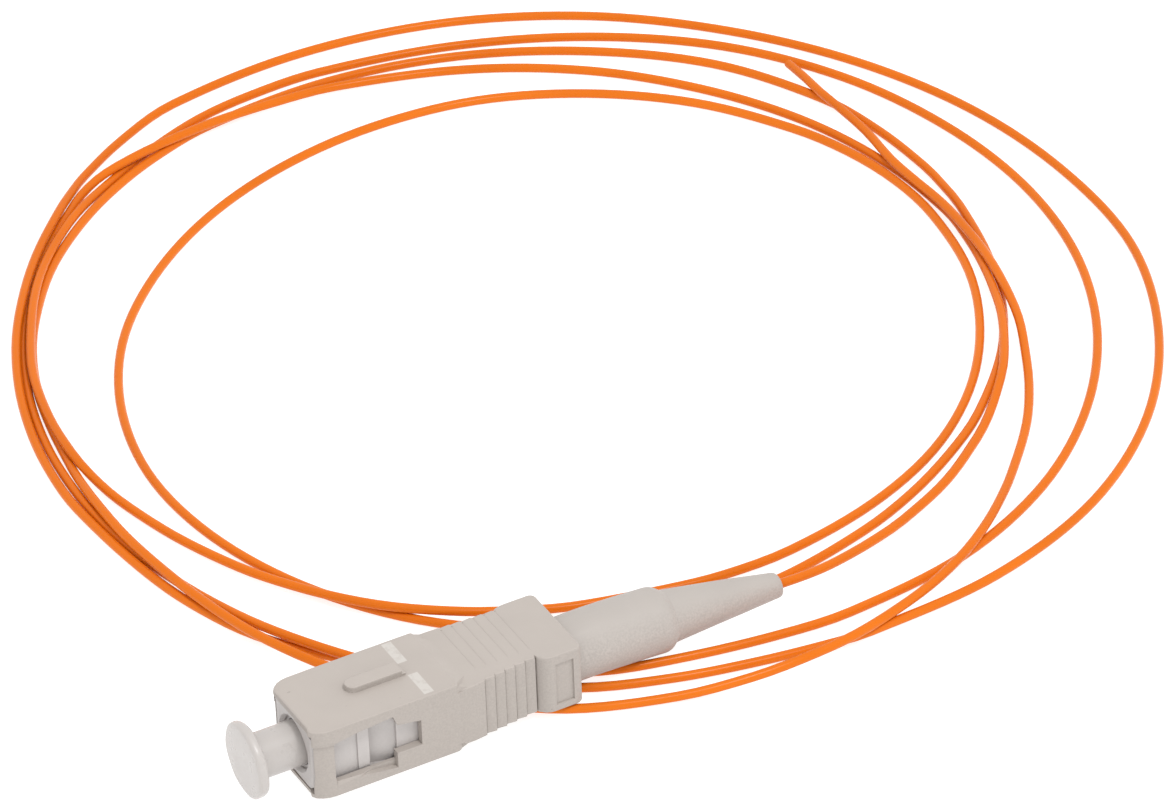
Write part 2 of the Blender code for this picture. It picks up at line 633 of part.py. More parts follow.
def make_stop_ring(parts, material):
    collar_front = FRAME_END + TOUCH_GAP
    nose_radius = REAR_BORE / 2 - TOUCH_GAP
    tail_end = STOP_COLLAR_END + STOP_TAIL_LENGTH
    profile = [
        (STOP_FRONT, STOP_BORE / 2),
        (STOP_FRONT, nose_radius),
        (collar_front, nose_radius),
        (collar_front, STOP_COLLAR_DIAMETER / 2),
        (STOP_COLLAR_END, STOP_COLLAR_DIAMETER / 2),
        (STOP_COLLAR_END, STOP_TAIL_DIAMETER / 2),
        (tail_end, STOP_TAIL_DIAMETER / 2),
        (tail_end, STOP_BORE / 2),
    ]
    return turned("stop_ring", profile, SMALL_SIDES, parts, material, closed=True)


def make_dust_cap(parts, material):
    """A round finger disc with a hollow shank that fills the sleeve and goes over the ferrule."""
    disc = CAP_DISC_DIAMETER / 2
    shank = CAP_SHANK_DIAMETER / 2
    disc_back = CAP_FRONT + CAP_DISC_THICKNESS
    rounding = CAP_DISC_ROUNDING
    shank_end = SLEEVE_DEPTH - TOUCH_GAP
    bore_end = shank_end - CAP_BORE_DEPTH
    profile = [
        (CAP_FRONT, disc - rounding),
        (CAP_FRONT + 0.3 * rounding, disc - 0.3 * rounding),
        (CAP_FRONT + rounding, disc),
        (disc_back - rounding, disc),
        (disc_back - 0.3 * rounding, disc - 0.3 * rounding),
        (disc_back, disc - rounding),
        (disc_back, shank + 0.2 * MM),
        (disc_back + 0.2 * MM, shank),
        (shank_end - 0.2 * MM, shank),
        (shank_end, shank - 0.15 * MM),
        (shank_end, CAP_BORE / 2),
        (bore_end, CAP_BORE / 2),
    ]
    return turned("dust_cap", profile, FINE_SIDES, parts, material)


def boot_start():
    return HOUSING_LENGTH + BOOT_GAP


def boot_drop(x):
    """How far the boot's own axis lies below the connector's axis at x from the nose."""
    bend = boot_start() + BOOT_LEVEL_LENGTH
    past = max(0.0, x - bend) / (BOOT_LENGTH - BOOT_LEVEL_LENGTH)
    return BOOT_LOW + BOOT_SAG * past**BOOT_SAG_POWER


def make_boot(parts, material):
    start = boot_start()
    bend = start + BOOT_LEVEL_LENGTH
    barrel_end = start + BOOT_BARREL_LENGTH
    step_end = barrel_end + BOOT_STEP_LENGTH
    middle_x = step_end + BOOT_UPPER_TAPER
    end = start + BOOT_LENGTH
    barrel = BOOT_BARREL_DIAMETER / 2
    step = BOOT_STEP_DIAMETER / 2
    middle = BOOT_MIDDLE_DIAMETER / 2
    tip = BOOT_TIP_DIAMETER / 2
    edge = BOOT_EDGE_ROUNDING
    bore = BOOT_BORE / 2
    neck_start = STOP_COLLAR_END + TOUCH_GAP + BOOT_LOW / 2
    neck_bore = STOP_TAIL_DIAMETER / 2 + TOUCH_GAP
    neck_bore_end = STOP_COLLAR_END + STOP_TAIL_LENGTH + TOUCH_GAP
    profile = [
        (neck_start, neck_bore),
        (neck_start, BOOT_NECK_DIAMETER / 2),
        (start, BOOT_NECK_DIAMETER / 2),
        (start, barrel - 0.7 * edge),
        (start + 0.7 * edge, barrel),
    ]
    for part in (0.0, 0.3, 0.6):
        profile.append((bend + part * (barrel_end - 3 * edge - bend), barrel))
    profile += [
        (barrel_end - 3 * edge, barrel),
        (barrel_end - 1.3 * edge, barrel - 0.3 * edge),
        (barrel_end, barrel - edge),
        (step_end, step),
    ]
    for part in (0.25, 0.5, 0.75, 1.0):
        profile.append((step_end + part * BOOT_UPPER_TAPER, step + part * (middle - step)))
    profile += [
        (end - BOOT_TIP_ROUNDING, tip),
        (end - 0.4 * BOOT_TIP_ROUNDING, tip - 0.12 * BOOT_TIP_ROUNDING),
        (end, tip - 0.4 * BOOT_TIP_ROUNDING),
    ]
    for x in (end, middle_x, step_end, barrel_end - 3 * edge, bend, neck_bore_end):
        profile.append((x, bore))
    profile.append((neck_bore_end, neck_bore))
    return turned("strain_relief_boot", profile, SMALL_SIDES, parts, material, closed=True, axis_drop=boot_drop)


def route_points():
    """The fibre's route in full: out of the boot along its sagging axis, then round the coil."""
    points = []
    for inside in (FIBRE_IN_BOOT, FIBRE_IN_BOOT / 2, 0.0):
        x = boot_start() + BOOT_LENGTH - inside
        points.append((NOSE_X + x, 0.0, AXIS_Z - boot_drop(x)))
    for heading, radius, height in ROUTE:
        turn = math.radians(heading)
        points.append(
            (
                COIL_CENTRE[0] + radius * MM * math.cos(turn),
                COIL_CENTRE[1] + radius * MM * math.sin(turn),
                height * MM,
            )
        )
    return points


def smooth_path(points, step):
    """Points at nearly equal steps along a smooth curve through the given ones."""
    lengths = [math.dist(a, b) for a, b in zip(points, points[1:])]
    slopes = []
    for index in range(len(points)):
        before = max(index - 1, 0)
        after = min(index + 1, len(points) - 1)
        span = sum(lengths[before:after])
        slopes.append([(points[after][k] - points[before][k]) / span for k in range(3)])
    dense = []
    for index, length in enumerate(lengths):
        pieces = max(2, round(length / (step / 8)))
        for piece in range(pieces):
            t = piece / pieces
            blend = (2 * t**3 - 3 * t**2 + 1, t**3 - 2 * t**2 + t, -2 * t**3 + 3 * t**2, t**3 - t**2)
            dense.append(
                tuple(
                    blend[0] * points[index][k]
                    + blend[1] * length * slopes[index][k]
                    + blend[2] * points[index + 1][k]
                    + blend[3] * length * slopes[index + 1][k]
                    for k in range(3)
                )
            )
    dense.append(points[-1])
    path = [dense[0]]
    walked = 0.0
    for before, after in zip(dense, dense[1:]):
        walked += math.dist(before, after)
        # The stretch in the boot and just outside it follows the boot's bend in short steps
        if walked >= (step if len(path) > 6 else step / 5):
            path.append(after)
            walked = 0.0
    if walked > 0.3 * step:
        path.append(dense[-1])
    else:
        path[-1] = dense[-1]
    return path


def make_fibre(parts, material):
    floor = FIBRE_DIAMETER / 2
    path = [(x, y, max(z, floor)) for x, y, z in smooth_path(route_points(), FIBRE_STATION)]
    return poly_tube("buffered_fibre", path, FIBRE_DIAMETER, parts, material)


def main():
    clear_scene()
    parts = make_collection("pigtail")
    helpers = make_collection("helpers")
    beige = make_material("housing_beige", BEIGE, 0.5)
    white = make_material("frame_white", WHITE_FRAME, 0.4)
    cap_white = make_material("cap_white", WHITE_CAP, 0.45)
    boot_beige = make_material("boot_beige", BOOT_BEIGE, 0.5)
    orange = make_material("fibre_orange", ORANGE, 0.3)
    zirconia = make_material("ferrule_zirconia", ZIRCONIA, 0.15)
    steel = make_material("spring_steel", STEEL, 0.3, 1.0)
    flange_nickel = make_material("flange_nickel", NICKEL, 0.3, 1.0)
    ring_nickel = make_material("ring_nickel", NICKEL, 0.35, 1.0)
    make_housing(parts, helpers, beige)
    make_plug_frame(parts, helpers, white)
    make_ferrule(parts, zirconia)
    make_flange(parts, flange_nickel)
    make_spring(parts, steel)
    make_stop_ring(parts, ring_nickel)
    make_dust_cap(parts, cap_white)
    make_boot(parts, boot_beige)
    make_fibre(parts, orange)


main()
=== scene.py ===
"""Looks of the fibre optic pigtail: a square connector with its dust cap and boot, on a loosely coiled fibre.

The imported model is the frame. This script adds the camera and lights, the smooth fibre, finer versions of the
moulded pieces and the finish of every surface. Lengths are in metres, and MM turns millimetres into metres.
"""
import math

import bmesh
import bpy
from mathutils import Matrix, Vector


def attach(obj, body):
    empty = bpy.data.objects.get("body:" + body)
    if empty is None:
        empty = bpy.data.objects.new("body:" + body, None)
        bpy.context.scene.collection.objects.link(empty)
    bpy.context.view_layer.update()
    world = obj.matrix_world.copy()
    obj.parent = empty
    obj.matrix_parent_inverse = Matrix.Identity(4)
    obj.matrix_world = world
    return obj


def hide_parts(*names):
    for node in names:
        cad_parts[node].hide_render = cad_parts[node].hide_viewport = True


MM = 0.001

# The connector's nose plane and axis, as in the part
NOSE_X = -21.9 * MM
AXIS_Z = 4.19 * MM

# Sizes of the part that the finer pieces follow, with x measured from the nose and heights from the axis
FRONT_WIDTH = 9.0 * MM
FRONT_HEIGHT = 7.4 * MM
NOSE_CORNER = 1.5 * MM
REAR_HEIGHT = 6.2 * MM
FRONT_LENGTH = 14.0 * MM
REAR_WIDTH = 9.2 * MM
WAIST_START = 15.2 * MM
EDGE_ROUNDING = 0.28 * MM
KEY_END = 10.6 * MM
WINDOW_FRONT = 1.6 * MM
WINDOW_SILL = -2.2 * MM
BLOCK_START = 7.6 * MM
FRAME_FRONT = -0.25 * MM
FRAME_SIDE = 3.45 * MM
FRAME_TOP = 2.85 * MM
RIDGE_START = 4.2 * MM
RIDGE_SIDE = 3.60 * MM
CATCH_START = 5.3 * MM
CATCH_END = 7.8 * MM
CATCH_DEPTH = 0.7 * MM
CATCH_LOW = -2.1 * MM
CAP_FRONT = -5.3 * MM
CAP_DISC_DIAMETER = 7.2 * MM
CAP_DISC_THICKNESS = 1.05 * MM
CAP_SHANK_DIAMETER = 4.2 * MM
CAP_BORE = 2.9 * MM
CAP_BORE_END = 5.3 * MM
CAP_BORE_START = -0.9 * MM
BOOT_START = 26.4 * MM
BOOT_REACH = 0.17 * MM
BOOT_LENGTH = 22.7 * MM
BOOT_BARREL_LENGTH = 9.6 * MM
BOOT_BARREL_DIAMETER = 6.2 * MM
BOOT_STEP_LENGTH = 0.8 * MM
BOOT_STEP_DIAMETER = 5.0 * MM
BOOT_UPPER_TAPER = 7.8 * MM
BOOT_MIDDLE_DIAMETER = 3.3 * MM
BOOT_TIP_DIAMETER = 2.3 * MM
BOOT_NECK_START = 22.375 * MM
BOOT_NECK_DIAMETER = 4.6 * MM
BOOT_NECK_BORE = 3.8 * MM
BOOT_NECK_BORE_END = 24.8 * MM
BOOT_BORE = 1.5 * MM
BOOT_LOW = 0.15 * MM
BOOT_LEVEL_LENGTH = 2.6 * MM
BOOT_SAG = 1.8 * MM
BOOT_SAG_POWER = 1.35

# Dip of the boot's axis at its start, the places of its step and seam, its shorter tip and its roundings
BOOT_DIP = 0.4 * MM
BOOT_DIP_START = 25.9 * MM
BOOT_DIP_LENGTH = 0.5 * MM
BOOT_STEP_PLACE = 0.3 * MM
BOOT_SEAM_PLACE = 1.05 * MM
BOOT_TIP_TRIM = 0.4 * MM
BOOT_START_ROUND = 0.25 * MM
BOOT_STEP_ROUND = 0.5 * MM
BOOT_SEAM_ROUND = 0.08 * MM
BOOT_TIP_ROUND = 0.45 * MM
BOOT_LONGEST_STRETCH = 0.8 * MM
BOOT_SIDES = 72

# How far the shell's nose reaches over the inner frame, which is less on the near side, and how much squarer
# its near corner is
FAR_REACH = 0.4 * MM
NEAR_REACH = 0.3 * MM
NEAR_CORNER_REACH = 0.3 * MM

# Softened edges, and the angles in degrees from which an edge is softened or shaded as a sharp one
HOUSING_EDGE = 0.08 * MM
FRAME_EDGE = 0.07 * MM
SOFT_ANGLE = 30.0
SHARP_ANGLE = 40.0
TURNED_SHARP_ANGLE = 32.0
ROUND_STEPS = 5

# What counts as one point and, in degrees, as one flat face when a CAD shape is copied
SAME_POINT = 0.0005 * MM
FLAT_ANGLE = 0.5

# How far a cutting solid passes a surface that it shares, and how far it reaches outside the piece
OVERCUT = 0.02 * MM
BEYOND = 1.0 * MM

# Fine grooves across the top of the grip, which fade out before the near edge. Their section is given by the
# places of its front, its bottom and its back, as shares of the width.
GROOVE_COUNT = 6
FIRST_GROOVE = 16.6 * MM
GROOVE_PITCH = 1.08 * MM
GROOVE_WIDTH = 0.24 * MM
GROOVE_SECTION = (-0.4, -0.15, 0.6)
GROOVE_DEPTH = 0.065 * MM
GROOVE_NEAR_END = -2.85 * MM
GROOVE_FAR_END = 3.95 * MM
GROOVE_FADE = 0.7 * MM

# Filled seam between the front and the rear section's side
FILLER_START = FRONT_LENGTH - 0.7 * MM
FILLER_END = FRONT_LENGTH + 0.5 * MM
FILLER_DEPTH = 0.5 * MM
FILLER_INSET = 0.01 * MM
FILLER_RISE = 0.04 * MM

# Filled corner beside the slope behind the front section
RAMP_START = FRONT_LENGTH - 1.0 * MM
RAMP_SLOPE_START = FRONT_LENGTH - 0.4 * MM
RAMP_SLOPE_END = FRONT_LENGTH + 1.0 * MM
RAMP_HIGH = 3.55 * MM
RAMP_LOW = 2.98 * MM
RAMP_FOOT = 0.3 * FRONT_HEIGHT
RAMP_DEPTH = 0.7 * MM
RAMP_INSET = 0.1 * MM

# What the rear section's side loses at its start
TRIM_START = FRONT_LENGTH - 0.35 * MM
TRIM_END = WAIST_START + 0.1 * MM
TRIM_START_SIDE = FRONT_WIDTH / 2 + 0.005 * MM
TRIM_END_SIDE = REAR_WIDTH / 2 - 0.01 * MM

# Recess round the housing's front post, the slope at its foot, and the turns round the nose corner from which
# it starts and within which it deepens, in degrees
POST_RECESS = 0.18 * MM
POST_LOW = -1.45 * MM
POST_HIGH = 2.1 * MM
POST_FOOT = -2.5 * MM
POST_SLOPE = 0.15 * MM
POST_TURN = 176
POST_TURN_STEP = 8
POST_FADE_TURN = 48

# Chamfer on the window's sill, and the pocket that narrows it towards the block. The pocket's shares are of
# its curved stretch, and the last one lies past the block's start.
SILL_CHAMFER = 0.3 * MM
SILL_CHAMFER_START = WINDOW_FRONT + 0.05 * MM
POCKET_START = 3.7 * MM
POCKET_FULL = 5.3 * MM
POCKET_SHARES = (0.0, 0.2, 0.45, 0.7, 1.0, 2.5)
POCKET_DEPTH = 0.5 * MM
POCKET_LOW_FRONT = -2.3 * MM
POCKET_LOW_BACK = -2.85 * MM
POCKET_FALL = 0.3 * MM
POCKET_HIGH = WINDOW_SILL + 0.1 * MM

# Lower foot at the key's back end
KEY_FOOT_LENGTH = 0.35 * MM
KEY_FOOT_HEIGHT = 0.22 * MM
KEY_CUT_SIDE = 2.0 * MM

# Rounded front of the inner frame, how far new parts reach into it, the levels between which its window
# details go on below the sill, and the pad on each side
COLLAR_END = 1.3 * MM
COLLAR_SIDE = 3.66 * MM
COLLAR_TOP = 3.06 * MM
FRAME_CORNER = 1.1 * MM
FRAME_CORNER_END = 1.4 * MM
FRAME_CORNER_CUT = 0.3 * MM
FRAME_ROUND_LENGTH = 0.5 * MM
FRAME_ROUND_WIDTH = 0.4 * MM
FRAME_SIDE_LAP = 0.2 * MM
FRAME_TOP_LAP = 0.05 * MM
DETAIL_LOW = -2.65 * MM
DETAIL_HIGH = CATCH_LOW + 0.05 * MM
PAD_START = 7.95 * MM
PAD_END = 10.8 * MM
PAD_LOW = -1.9 * MM
PAD_HIGH = 1.75 * MM
PAD_SIDE = 3.7 * MM

# Lip in the frame's sleeve, just clear of the cap's shank
LIP_START = 0.25 * MM
LIP_END = 1.9 * MM
LIP_INNER = 2.16 * MM
LIP_OUTER = 2.6 * MM
LIP_SIDES = 64

# The cap's dished disc, its roundings, and the gap that its profile leaves at the axis
CAP_DISH = 0.02 * MM
CAP_FLAT_SHARE = 0.5
CAP_FRONT_SLOPE = 0.03 * MM
CAP_BACK_SLOPE = 0.05 * MM
CAP_FRONT_ROUND = 0.42 * MM
CAP_BACK_ROUND = 0.4 * MM
CAP_FILLET = 0.35 * MM
CAP_SHANK_ROUND = 0.15 * MM
CAP_BORE_ROUND = 0.1 * MM
CAP_AXIS_GAP = 0.02 * MM
CAP_SIDES = 96

# Unevenness of the cap's disc, which starts a little outside the shank, and where its lower edge is flat. The
# lobes' turn is in radians.
DISC_UNEVEN = 0.02
DISC_LOBES = 7
DISC_LOBE_TURN = 0.9
DISC_CLEAR = 0.5 * MM
DISC_FLAT = -3.38 * MM

# Steps of the grip's ribs, whose creases are painted darker in patches as shade
FIRST_RIB = 16.45 * MM
RIB_PITCH = 1.07 * MM
RIB_COUNT = 6
RIB_STEP = 0.17 * MM
RIB_STEP_START = 0.02 * MM
RIB_BLUR = 0.03 * MM
GRIP_BLUR = 0.01 * MM
RIB_SHADE_RANGE = (0.3, 0.6)
RIB_SHADE_COVER = (0.35, 0.8)
RIB_SHADE = (0.2, 0.175, 0.155)

# White painted marks on the top, on both sides of the key line, the depths below it between which they end,
# the range of noise in which they are worn and how much of the paint is left there
MARK_START = 10.7 * MM
MARK_END = 11.65 * MM
MARK_INNER = 0.93 * MM
MARK_OUTER = 4.1 * MM
MARK_BLUR = 0.03 * MM
MARK_DEEP = 0.1 * MM
MARK_SHALLOW = 0.05 * MM
MARK_WEAR_RANGE = (0.3, 0.5)
MARK_COVER = (0.45, 0.95)
MARK_WHITE = (0.53, 0.5, 0.466)

# Colours of the surfaces, and those between which the fibre's varies
HOUSING_BEIGE = (0.412, 0.37, 0.337)
BOOT_BEIGE = (0.4, 0.365, 0.337)
FRAME_WHITE = (0.46, 0.43, 0.415)
CAP_WHITE = (0.465, 0.435, 0.415)
SPECK_BROWN = (0.16, 0.14, 0.125)
FERRULE_WHITE = (0.75, 0.74, 0.71)
FLANGE_NICKEL = (0.62, 0.6, 0.56)
SPRING_STEEL = (0.55, 0.55, 0.56)
RING_NICKEL = (0.6, 0.58, 0.54)
FIBRE_ORANGE = (0.65, 0.145, 0.006)
FIBRE_DARK = (0.62, 0.136, 0.005)
FIBRE_LIGHT = (0.68, 0.154, 0.007)

# Scales of the surfaces' unevenness, in cells for each metre
CLOUD_SCALE = 260.0
SIDE_GRAIN_SCALE = 5500.0
SPECK_SCALE = 2100.0
SPECK_PATCH_SCALE = 120.0
SHINE_SCALE = 700.0
GRAIN_SCALE = 2500.0
MARK_WEAR_SCALE = 1500.0
RIB_SHADE_SCALE = 1400.0
FIBRE_CLOUD_SCALE = 90.0
FIBRE_SHINE_SCALE = 400.0
FIBRE_GRAIN_SCALE = 1500.0
METAL_SCALE = 1800.0

# The middle range of a noise, the range in which specks and their patches show, and how level a face is, from
# 0 to 1, where a side's finish begins and ends to fade
NOISE_MIDDLE = (0.3, 0.7)
GRAIN_RANGE = (0.35, 0.65)
SPECK_RANGE = (0.72, 0.76)
SPECK_PATCH_RANGE = (0.58, 0.68)
LEVEL_FADE = (0.35, 0.9)

# How far clouds lighten or darken a colour, and how far a surface's roughness goes below and above its own
CLOUD_SHADES = (0.98, 1.02)
PLASTIC_SPREAD = (0.05, 0.07)
METAL_SPREAD = (0.06, 0.1)
FIBRE_ROUGHNESS = 0.32
FIBRE_ROUGHNESS_RANGE = (0.2, 0.28)

# Depths of the fine relief, how strongly it shows, and the depth to which light enters the white plastic
GRAIN_DEPTH = 0.004 * MM
GRAIN_STRENGTH = 0.3
FIBRE_GRAIN_DEPTH = 0.006 * MM
FIBRE_GRAIN_STRENGTH = 0.2
LIGHT_DEPTH = 0.6 * MM
LIGHT_DEPTH_SHARES = (1.0, 0.9, 0.8)

# Strength of the shine, where it is softer than a plain plastic's
HOUSING_SHINE = 0.35
CAP_SHINE = 0.45
FIBRE_SHINE = 0.13

# Fibre
FIBRE_DIAMETER = 0.9 * MM
FIBRE_IN_BOOT = 5.0 * MM
FIBRE_STEP = 1.6 * MM
COIL_CENTRE = (31.46 * MM, 45.68 * MM)

# Camera, fitted to the connector's straight edges in the photograph, with its angles in degrees and its lens
# and sensor in millimetres
CAMERA_TARGET = (27.06 * MM, 36.11 * MM, 0.49 * MM)
CAMERA_AZIMUTH = 27.703
CAMERA_ELEVATION = 35.625
CAMERA_ROLL = -2.197
CAMERA_DISTANCE = 657.73 * MM
CAMERA_LENS = 214.47
SENSOR_WIDTH = 36.0
CAMERA_NEAR = 0.01
CAMERA_FAR = 10.0

# Light from all round, one lamp, and the white floor, which glows a little
WHITE = (1.0, 1.0, 1.0, 1.0)
WORLD_STRENGTH = 1.08
KEY_PLACE = (0.07, -0.28, 0.6)
KEY_TARGET = (0.0, 0.0, 0.0)
KEY_SIZE = 0.14
KEY_POWER = 1.65
FLOOR_REACH = 1.5
FLOOR_GREY = (0.42, 0.42, 0.42)
FLOOR_ROUGHNESS = 0.9
FLOOR_GLOW = 0.8

# The fibre's route from the boot to its bare end, round the coil's centre: heading in degrees from +X, radius
# and height in millimetres, as in the part
ROUTE = [
    (270, 45.1, 1.75), (275, 44.1, 1.2), (280, 43.3, 0.8), (285, 42.7, 0.55), (295, 41.9, 0.45),
    (305, 41.2, 0.45), (310, 41.0, 0.6), (315, 40.8, 0.95), (320, 40.7, 1.3), (326, 40.4, 1.4),
    (332, 40.2, 1.4), (338, 40.0, 1.2), (345, 40.1, 0.8), (352, 40.4, 0.5), (360, 40.8, 0.45),
    (15, 41.4, 0.45), (30, 42.6, 0.45), (45, 44.2, 0.45), (60, 46.4, 0.45), (75, 48.6, 0.45),
    (90, 50.7, 0.65), (98, 51.5, 0.9), (105, 52.3, 1.25), (110, 53.0, 1.4), (114, 53.8, 1.4),
    (118, 54.6, 1.35), (120.5, 55.2, 1.05), (123, 55.5, 0.6), (126, 55.2, 0.45), (130, 54.8, 0.45),
    (135, 54.4, 0.45), (142, 53.7, 0.45), (150, 53.1, 0.45), (158, 52.6, 0.45), (165, 52.3, 0.45),
    (172, 52.1, 0.45), (180, 52.0, 0.45), (190, 52.1, 0.45), (198, 52.2, 0.5), (204, 52.8, 0.9),
    (209, 53.5, 1.35), (214, 53.8, 1.4), (219, 54.1, 1.35), (224, 54.0, 0.85), (230, 53.8, 0.45),
    (241, 54.3, 0.45), (250, 53.9, 0.45), (258, 53.6, 0.45), (265, 53.7, 0.45), (270, 53.9, 0.45),
    (285, 54.5, 0.45), (300, 55.1, 0.45), (315, 55.2, 0.45), (330, 55.0, 0.45), (345, 54.9, 0.45),
    (360, 54.2, 0.45),
    (15, 54.1, 0.45), (30, 54.4, 0.45), (45, 55.2, 0.45), (60, 56.6, 0.45), (75, 57.7, 0.45),
    (90, 58.3, 0.45), (105, 58.7, 0.45), (113, 58.0, 0.45), (120, 57.1, 0.55), (123, 56.5, 0.8),
    (127, 55.7, 1.2), (135, 54.7, 1.35), (142, 54.1, 1.35), (150, 53.7, 1.3), (158, 53.4, 1.05),
    (165, 53.2, 0.75), (172, 53.1, 0.6), (180, 53.0, 0.5), (195, 53.3, 0.45), (205, 53.9, 0.45),
    (212, 53.9, 0.45), (220, 53.4, 0.45), (230, 52.6, 0.45), (243, 52.0, 0.45), (252, 51.1, 0.45),
    (262, 50.6, 0.45), (270, 50.5, 0.45), (285, 50.3, 0.45), (300, 49.9, 0.45), (315, 49.4, 0.45),
    (330, 49.2, 0.45), (345, 49.3, 0.45), (360, 49.6, 0.45),
    (15, 50.2, 0.45), (30, 51.3, 0.45), (45, 52.3, 0.45), (60, 52.7, 0.45), (75, 53.2, 0.45),
    (90, 54.2, 0.45), (98, 54.6, 0.45), (105, 54.8, 0.45), (113, 54.5, 0.45), (120, 54.3, 0.5),
    (127, 54.1, 0.9), (135, 53.6, 1.1), (142, 53.0, 1.35), (150, 52.3, 1.4), (157, 51.9, 1.4),
    (165, 51.2, 1.4), (172, 50.6, 1.4), (176, 50.0, 0.95), (181, 49.1, 0.5), (190, 47.9, 0.45),
    (200, 47.1, 0.65), (207, 46.7, 0.9), (214, 46.5, 1.25), (220, 46.1, 1.4), (226, 44.9, 1.05),
    (231, 43.8, 0.7), (240, 42.4, 0.45), (252, 40.9, 0.45), (260, 40.4, 0.45), (270, 39.7, 0.45),
    (285, 38.8, 0.45), (300, 38.4, 0.45), (315, 38.1, 0.45), (330, 38.1, 0.45), (345, 38.6, 0.45),
    (360, 39.3, 0.45),
    (10, 39.9, 0.45), (20, 40.4, 0.45), (30, 40.8, 0.45), (45, 41.6, 0.45), (60, 42.2, 0.45),
    (75, 42.7, 0.45), (90, 42.5, 0.45), (105, 42.3, 0.45), (120, 42.4, 0.45), (135, 42.8, 0.45),
    (150, 43.6, 0.45), (165, 44.3, 0.45), (180, 45.0, 0.45), (195, 45.4, 0.45), (210, 45.8, 0.45),
    (225, 46.1, 0.45), (240, 45.6, 0.45), (255, 44.2, 0.45), (266, 43.0, 0.45), (280, 41.3, 0.45),
    (290, 40.5, 0.45), (300, 40.0, 0.45), (310, 39.9, 0.45), (325, 40.2, 0.45), (337, 40.6, 0.45),
    (348, 41.2, 0.45), (360, 42.4, 0.45),
    (5, 43.0, 0.45), (10, 43.7, 0.45), (20, 45.2, 0.45), (30, 46.9, 0.45), (45, 48.9, 0.45),
    (60, 50.0, 0.45), (75, 51.2, 0.45), (90, 52.2, 0.45), (105, 53.1, 0.45), (113, 53.3, 0.45),
    (120, 53.3, 0.45), (127, 53.2, 0.45), (135, 53.0, 0.45), (142, 52.6, 0.45), (150, 52.2, 0.45),
    (158, 51.7, 0.45), (165, 51.2, 0.45), (172, 51.0, 0.5), (176, 51.2, 0.85), (181, 51.5, 1.3),
    (188, 52.0, 1.4), (195, 52.6, 1.4), (202, 53.6, 1.4), (209, 54.8, 1.4), (216, 55.8, 1.25),
    (223, 56.4, 0.8), (226.5, 56.6, 0.5), (230, 56.7, 0.45), (240, 57.3, 0.45), (250, 56.7, 0.55),
    (257, 56.3, 1.05), (262, 55.8, 1.4), (268, 54.7, 1.4), (275, 53.1, 1.35), (280, 52.0, 1.35),
    (285, 50.8, 1.4), (290, 49.4, 1.3), (295, 47.9, 0.9), (300, 46.6, 0.6), (310, 44.7, 0.45),
    (318, 43.4, 0.5), (325, 42.4, 0.85), (331, 41.8, 1.3), (338, 41.0, 1.65), (345, 40.5, 1.75),
    (352, 40.3, 1.6), (360, 40.4, 1.45),
    (8, 40.6, 1.4), (13, 41.2, 1.4), (20, 43.2, 1.4), (26, 45.1, 1.4), (30, 46.6, 1.4),
    (33, 48.3, 1.25), (36.5, 50.6, 0.9),
]


def clamped(share):
    return min(1.0, max(0.0, share))


def shader_of(material):
    return material.node_tree.nodes["Principled BSDF"]


def new_material(name, colour, roughness, metallic=0.0):
    material = bpy.data.materials.new(name)
    material.use_nodes = True
    shader = shader_of(material)
    shader.inputs["Base Color"].default_value = (*colour, 1.0)
    shader.inputs["Roughness"].default_value = roughness
    shader.inputs["Metallic"].default_value = metallic
    return material


def add_node(material, kind, **inputs):
    node = material.node_tree.nodes.new(kind)
    for name, value in inputs.items():
        node.inputs[name.replace("_", " ")].default_value = value
    return node


def wire(material, source, target):
    material.node_tree.links.new(source, target)


def object_coordinates(material):
    return material.node_tree.nodes.new("ShaderNodeTexCoord").outputs["Object"]


def split_vector(material, source):
    """The three parts of a vector's socket, by the names X, Y and Z."""
    split = material.node_tree.nodes.new("ShaderNodeSeparateXYZ")
    wire(material, source, split.inputs["Vector"])
    return split.outputs


def noise(material, scale, detail=3.0, roughness=0.5):
    node = add_node(material, "ShaderNodeTexNoise", Scale=scale, Detail=detail, Roughness=roughness)
    wire(material, object_coordinates(material), node.inputs["Vector"])
    return node.outputs["Fac"]


def stretch(material, source, low, high, new_low=0.0, new_high=1.0):
    node = add_node(
        material, "ShaderNodeMapRange", From_Min=low, From_Max=high, To_Min=new_low, To_Max=new_high
    )
    wire(material, source, node.inputs["Value"])
    return node.outputs["Result"]


def cloudy(material, scale, detail, low=0.0, high=1.0):
    """Soft noise that goes from one value to another over its middle range."""
    return stretch(material, noise(material, scale, detail), *NOISE_MIDDLE, low, high)


def mix_colour(material, factor, first, second):
    """Mixes two colours, each a tuple or a socket, and gives the result's socket."""
    node = material.node_tree.nodes.new("ShaderNodeMix")
    node.data_type = "RGBA"
    wire(material, factor, node.inputs["Factor"])
    for socket, value in ((node.inputs[6], first), (node.inputs[7], second)):
        if isinstance(value, tuple):
            socket.default_value = (*value, 1.0)
        else:
            wire(material, value, socket)
    return node.outputs[2]


def calculate(material, operation, first, second):
    node = material.node_tree.nodes.new("ShaderNodeMath")
    node.operation = operation
    for socket, value in zip(node.inputs, (first, second)):
        if isinstance(value, (int, float)):
            socket.default_value = value
        else:
            wire(material, value, socket)
    return node.outputs["Value"]


def product(material, first, *others):
    result = first
    for other in others:
        result = calculate(material, "MULTIPLY", result, other)
    return result


def bump(material, height, strength, distance):
    node = add_node(material, "ShaderNodeBump", Strength=strength, Distance=distance)
    wire(material, height, node.inputs["Height"])
    wire(material, node.outputs["Normal"], shader_of(material).inputs["Normal"])


def tinted(colour, amount):
    return tuple(min(1.0, amount * part) for part in colour)


